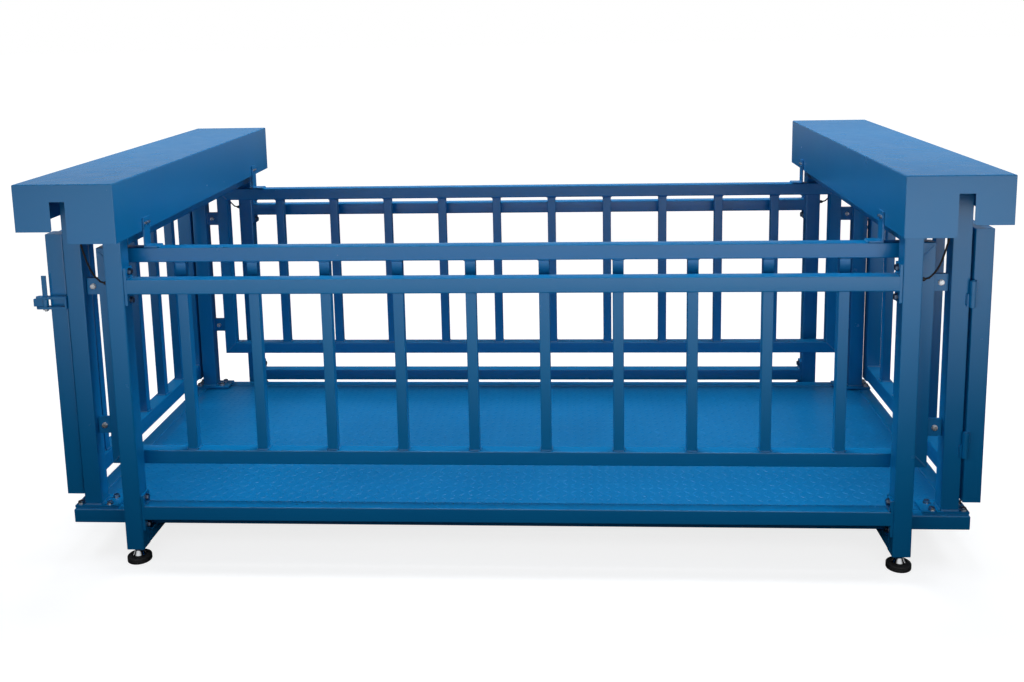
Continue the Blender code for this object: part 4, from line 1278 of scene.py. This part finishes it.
@dataclass
class Studio:
    """The camera at the photograph's angle, the pale floor, and the soft studio light."""

    place: Triple = (0.22434, -4.01248, 1.79394)
    yaw: float = math.radians(3.422)
    roll: float = math.radians(1.112)
    pitch: float = math.radians(9.226)
    lens: float = 37.75
    shift_y: float = -0.14746
    floor_half: float = 60.0
    floor_level: float = -0.0005
    fill: float = 0.08
    back_fill: float = 0.50
    # How bright the hall is at each height, from the horizon and all below it at 0 to overhead at 1.
    hall: tuple[Pair, ...] = ((0.0, 0.06), (0.085, 0.08), (0.14, 0.74), (0.175, 0.74), (0.215, 0.0),
                              (0.80, 0.0), (0.93, 1.0), (1.0, 1.0))

    def build_camera(self) -> None:
        """Makes the camera. It stands level enough that only a part of the view comes from the shift."""
        data = bpy.data.cameras.new("camera")
        data.lens = self.lens
        data.sensor_width = 36.0
        data.sensor_fit = "HORIZONTAL"
        data.shift_y = self.shift_y
        data.clip_start = 0.05
        data.clip_end = 200.0
        camera = bpy.data.objects.new("camera", data)
        camera.matrix_world = (Matrix.Translation(self.place) @ Matrix.Rotation(self.yaw, 4, "Z")
                               @ Matrix.Rotation(math.pi / 2 - self.pitch, 4, "X")
                               @ Matrix.Rotation(-self.roll, 4, "Z"))
        bpy.context.scene.collection.objects.link(camera)
        bpy.context.scene.camera = camera
        LOG.info("camera at %s", self.place)

    def build_floor(self) -> None:
        """Makes the pale floor."""
        bm = bmesh.new()
        bmesh.ops.create_grid(bm, x_segments=1, y_segments=1, size=self.floor_half)
        mesh = bpy.data.meshes.new("floor")
        bm.to_mesh(mesh)
        bm.free()
        mesh.materials.append(self.floor_material())
        floor = bpy.data.objects.new("floor", mesh)
        bpy.context.scene.collection.objects.link(floor)
        floor.location.z = self.floor_level
        LOG.info("floor")

    def floor_material(self) -> bpy.types.Material:
        """Draws the painted floor: matt, and pale. Mirrored, it shows the hall's light.

        Returns:
            The material.
        """
        made = bpy.data.materials.new("pale_floor")
        made.use_nodes = True
        tree = made.node_tree
        shader = tree.nodes["Principled BSDF"]
        shader.inputs["Roughness"].default_value = 0.9
        shader.inputs["Specular IOR Level"].default_value = 0.0
        shader.inputs["Emission Color"].default_value = linear("#ffffff")
        path = add_node(tree, "LightPath").outputs
        spot = add_node(tree, "TexCoord").outputs["Object"]
        # It is pale where it is looked at, and dark to the light that it would throw up at the object.
        tone = add_node(tree, "Mix",
                        {"Factor": path["Is Camera Ray"], MIX_A: linear("#2b2c2e"), MIX_B: linear("#9a9da0")},
                        data_type="RGBA")
        tree.links.new(tone.outputs[MIX_RESULT], shader.inputs["Base Color"])
        distance = add_node(tree, "VectorMath", {0: spot}, operation="LENGTH")
        place = add_node(tree, "SeparateXYZ", {0: spot}).outputs
        along = add_node(tree, "Math", {0: place["X"]}, operation="ABSOLUTE")
        found = {"camera": path["Is Camera Ray"], "glossy": path["Is Glossy Ray"],
                 "through": path["Is Transmission Ray"]}
        # Each row is a name, a measure in metres, where it starts and ends, the values there, and
        # how it goes over. Where it is looked at, the floor is a little under white near the object,
        # so that the shadow shows. Where it is mirrored, it goes from dark under the object to white
        # in front, brighter towards the right, where the hall is open, and less at the ends and behind.
        for name, measure, start, end, low, high, way in (
            ("near", distance.outputs["Value"], 2.5, 8.0, 0.80, 1.0, "SMOOTHSTEP"),
            ("ahead", place["Y"], -1.5, -4.5, 0.0, 1.0, "SMOOTHSTEP"),
            ("aside", place["X"], -3.0, 3.5, 0.8, 1.65, "LINEAR"),
            ("ends", along.outputs[0], 3.5, 6.0, 0.0, 0.7, "SMOOTHSTEP"),
            ("back", place["Y"], 9.0, 14.0, 0.0, 0.25, "LINEAR"),
        ):
            zone = add_node(tree, "MapRange",
                            {"Value": measure, "From Min": start, "From Max": end, "To Min": low,
                             "To Max": high}, interpolation_type=way)
            found[name] = zone.outputs["Result"]
        for name, operation, one, other in (
            ("front", "MULTIPLY", "ahead", "aside"), ("rest", "MAXIMUM", "ends", "back"),
            ("mirrored", "MAXIMUM", "front", "rest"), ("direct", "MULTIPLY", "near", "camera"),
            ("bounced", "MAXIMUM", "glossy", "through"), ("indirect", "MULTIPLY", "mirrored", "bounced"),
            ("glow", "MAXIMUM", "direct", "indirect"),
        ):
            step = add_node(tree, "Math", {0: found[one], 1: found[other]}, operation=operation)
            found[name] = step.outputs[0]
        tree.links.new(found["glow"], shader.inputs["Emission Strength"])
        return made

    def build_world(self) -> None:
        """Makes the world: white where it is seen, a hall's light where it is mirrored, dim elsewhere."""
        world = bpy.data.worlds.new("studio")
        bpy.context.scene.world = world
        world.use_nodes = True
        tree = world.node_tree
        tree.nodes.clear()
        path = add_node(tree, "LightPath").outputs
        place = add_node(tree, "TexCoord").outputs["Generated"]
        way = add_node(tree, "SeparateXYZ", {0: place}).outputs
        height = add_node(tree, "ValToRGB", {0: way["Z"]})
        stops = height.color_ramp.elements
        for level, value in self.hall:
            stop = stops.new(level) if 0.0 < level < 1.0 else stops[-1 if level else 0]
            stop.color = (value, value, value, 1.0)
        front = add_node(tree, "MapRange",
                         {"Value": way["Y"], "From Min": -0.35, "From Max": -0.85, "To Min": 0.0,
                          "To Max": 0.9}, interpolation_type="SMOOTHSTEP")
        # The back of the hall is the lighter one, so the sides that the photograph leaves out are lit too.
        behind = add_node(tree, "MapRange",
                          {"Value": way["Y"], "From Min": -0.1, "From Max": 0.8, "To Min": self.fill,
                           "To Max": self.back_fill}, interpolation_type="SMOOTHSTEP")
        bright = add_node(tree, "Math", {0: height.outputs[0], 1: front.outputs["Result"]},
                          operation="MAXIMUM")
        soft, hall, white = (
            add_node(tree, "Background", {"Color": linear(colour), "Strength": strength}).outputs[0]
            for colour, strength in (("#e6eef7", behind.outputs["Result"]), ("#ffffff", bright.outputs[0]),
                                     ("#ffffff", 1.0)))
        mirrored = add_node(tree, "MixShader", {0: path["Is Glossy Ray"], 1: soft, 2: hall})
        direct = add_node(tree, "Math",
                          {0: path["Is Camera Ray"], 1: path["Is Transmission Ray"]}, operation="MAXIMUM")
        mixed = add_node(tree, "MixShader", {0: direct.outputs[0], 1: mirrored.outputs[0], 2: white})
        add_node(tree, "OutputWorld", {"Surface": mixed.outputs[0]})
        LOG.info("world")

    def build_lamps(self) -> None:
        """Makes the soft boxes. Gloss shows the world and the floor in their place, which are evener."""
        # Each row is a name, a place, a width and height, watts and what it faces. The close boxes
        # light the front and the ends more than the rest.
        for name, place, size, watts, aim in (
            ("overhead_softbox", (0.1, 0.9, 4.3), (4.0, 1.0), 190.0, (0.0, 0.1, 0.0)),
            ("front_strip", (0.0, -1.8, 1.0), (4.0, 0.6), 17.0, (0.0, 0.0, 1.0)),
            ("end_softbox_-1", (-2.6, -0.05, 1.95), (1.0, 0.8), 14.0, (-1.4, -0.05, 1.0)),
            ("end_softbox_1", (2.6, -0.05, 1.95), (1.0, 0.8), 14.0, (1.4, -0.05, 1.0)),
        ):
            data = bpy.data.lights.new(name, "AREA")
            data.shape = "RECTANGLE"
            data.size, data.size_y = size
            data.energy = watts
            lamp = bpy.data.objects.new(name, data)
            lamp.location = place
            lamp.rotation_euler = (Vector(place) - Vector(aim)).to_track_quat("Z", "Y").to_euler()
            lamp.visible_camera = lamp.visible_glossy = False
            bpy.context.scene.collection.objects.link(lamp)
            LOG.info("%s: %s W", name, watts)

    def build(self) -> None:
        """Builds all but the camera, and sets how the picture is shown."""
        bpy.context.scene.view_settings.view_transform = "Standard"
        self.build_world()
        self.build_floor()
        self.build_lamps()


def dress_solids() -> None:
    """Gives each CAD node that stays the finish of the real piece."""
    chosen = {"load_cell": NICKEL, "load_button": CHROME}
    for name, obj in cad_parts.items():
        finish = next((f for start, f in chosen.items() if name.startswith(start)), BLUE_COAT)
        for slot in obj.material_slots:
            slot.material = finish.material()
        LOG.info("%s: %s", name, finish.name)


def main() -> None:
    """Builds the scene: camera and cords first, then the finishes and each sub-assembly."""
    logging.basicConfig(level=logging.INFO, format="%(name)s: %(message)s")
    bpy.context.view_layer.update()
    studio = Studio()
    studio.build_camera()
    for end in End:
        for sign in SIDES:
            CellCable(end, sign).build()
    dress_solids()
    Steelwork().build()
    TreadPlate().build()
    for side, sign in (("front", -1), ("rear", 1)):
        Fence(side, sign).build()
    for end in End:
        for sign in SIDES:
            StandingFrame(end, sign).build()
        for part in (Gate, Hinge, Latch):
            part(end).build()
        for sign in SIDES:
            for part in (LevellingFoot, HangingPost, CoverStrap, LoadCellFittings, CableGland):
                part(end, sign).build()
    studio.build()


if __name__ == "__main__":
    main()
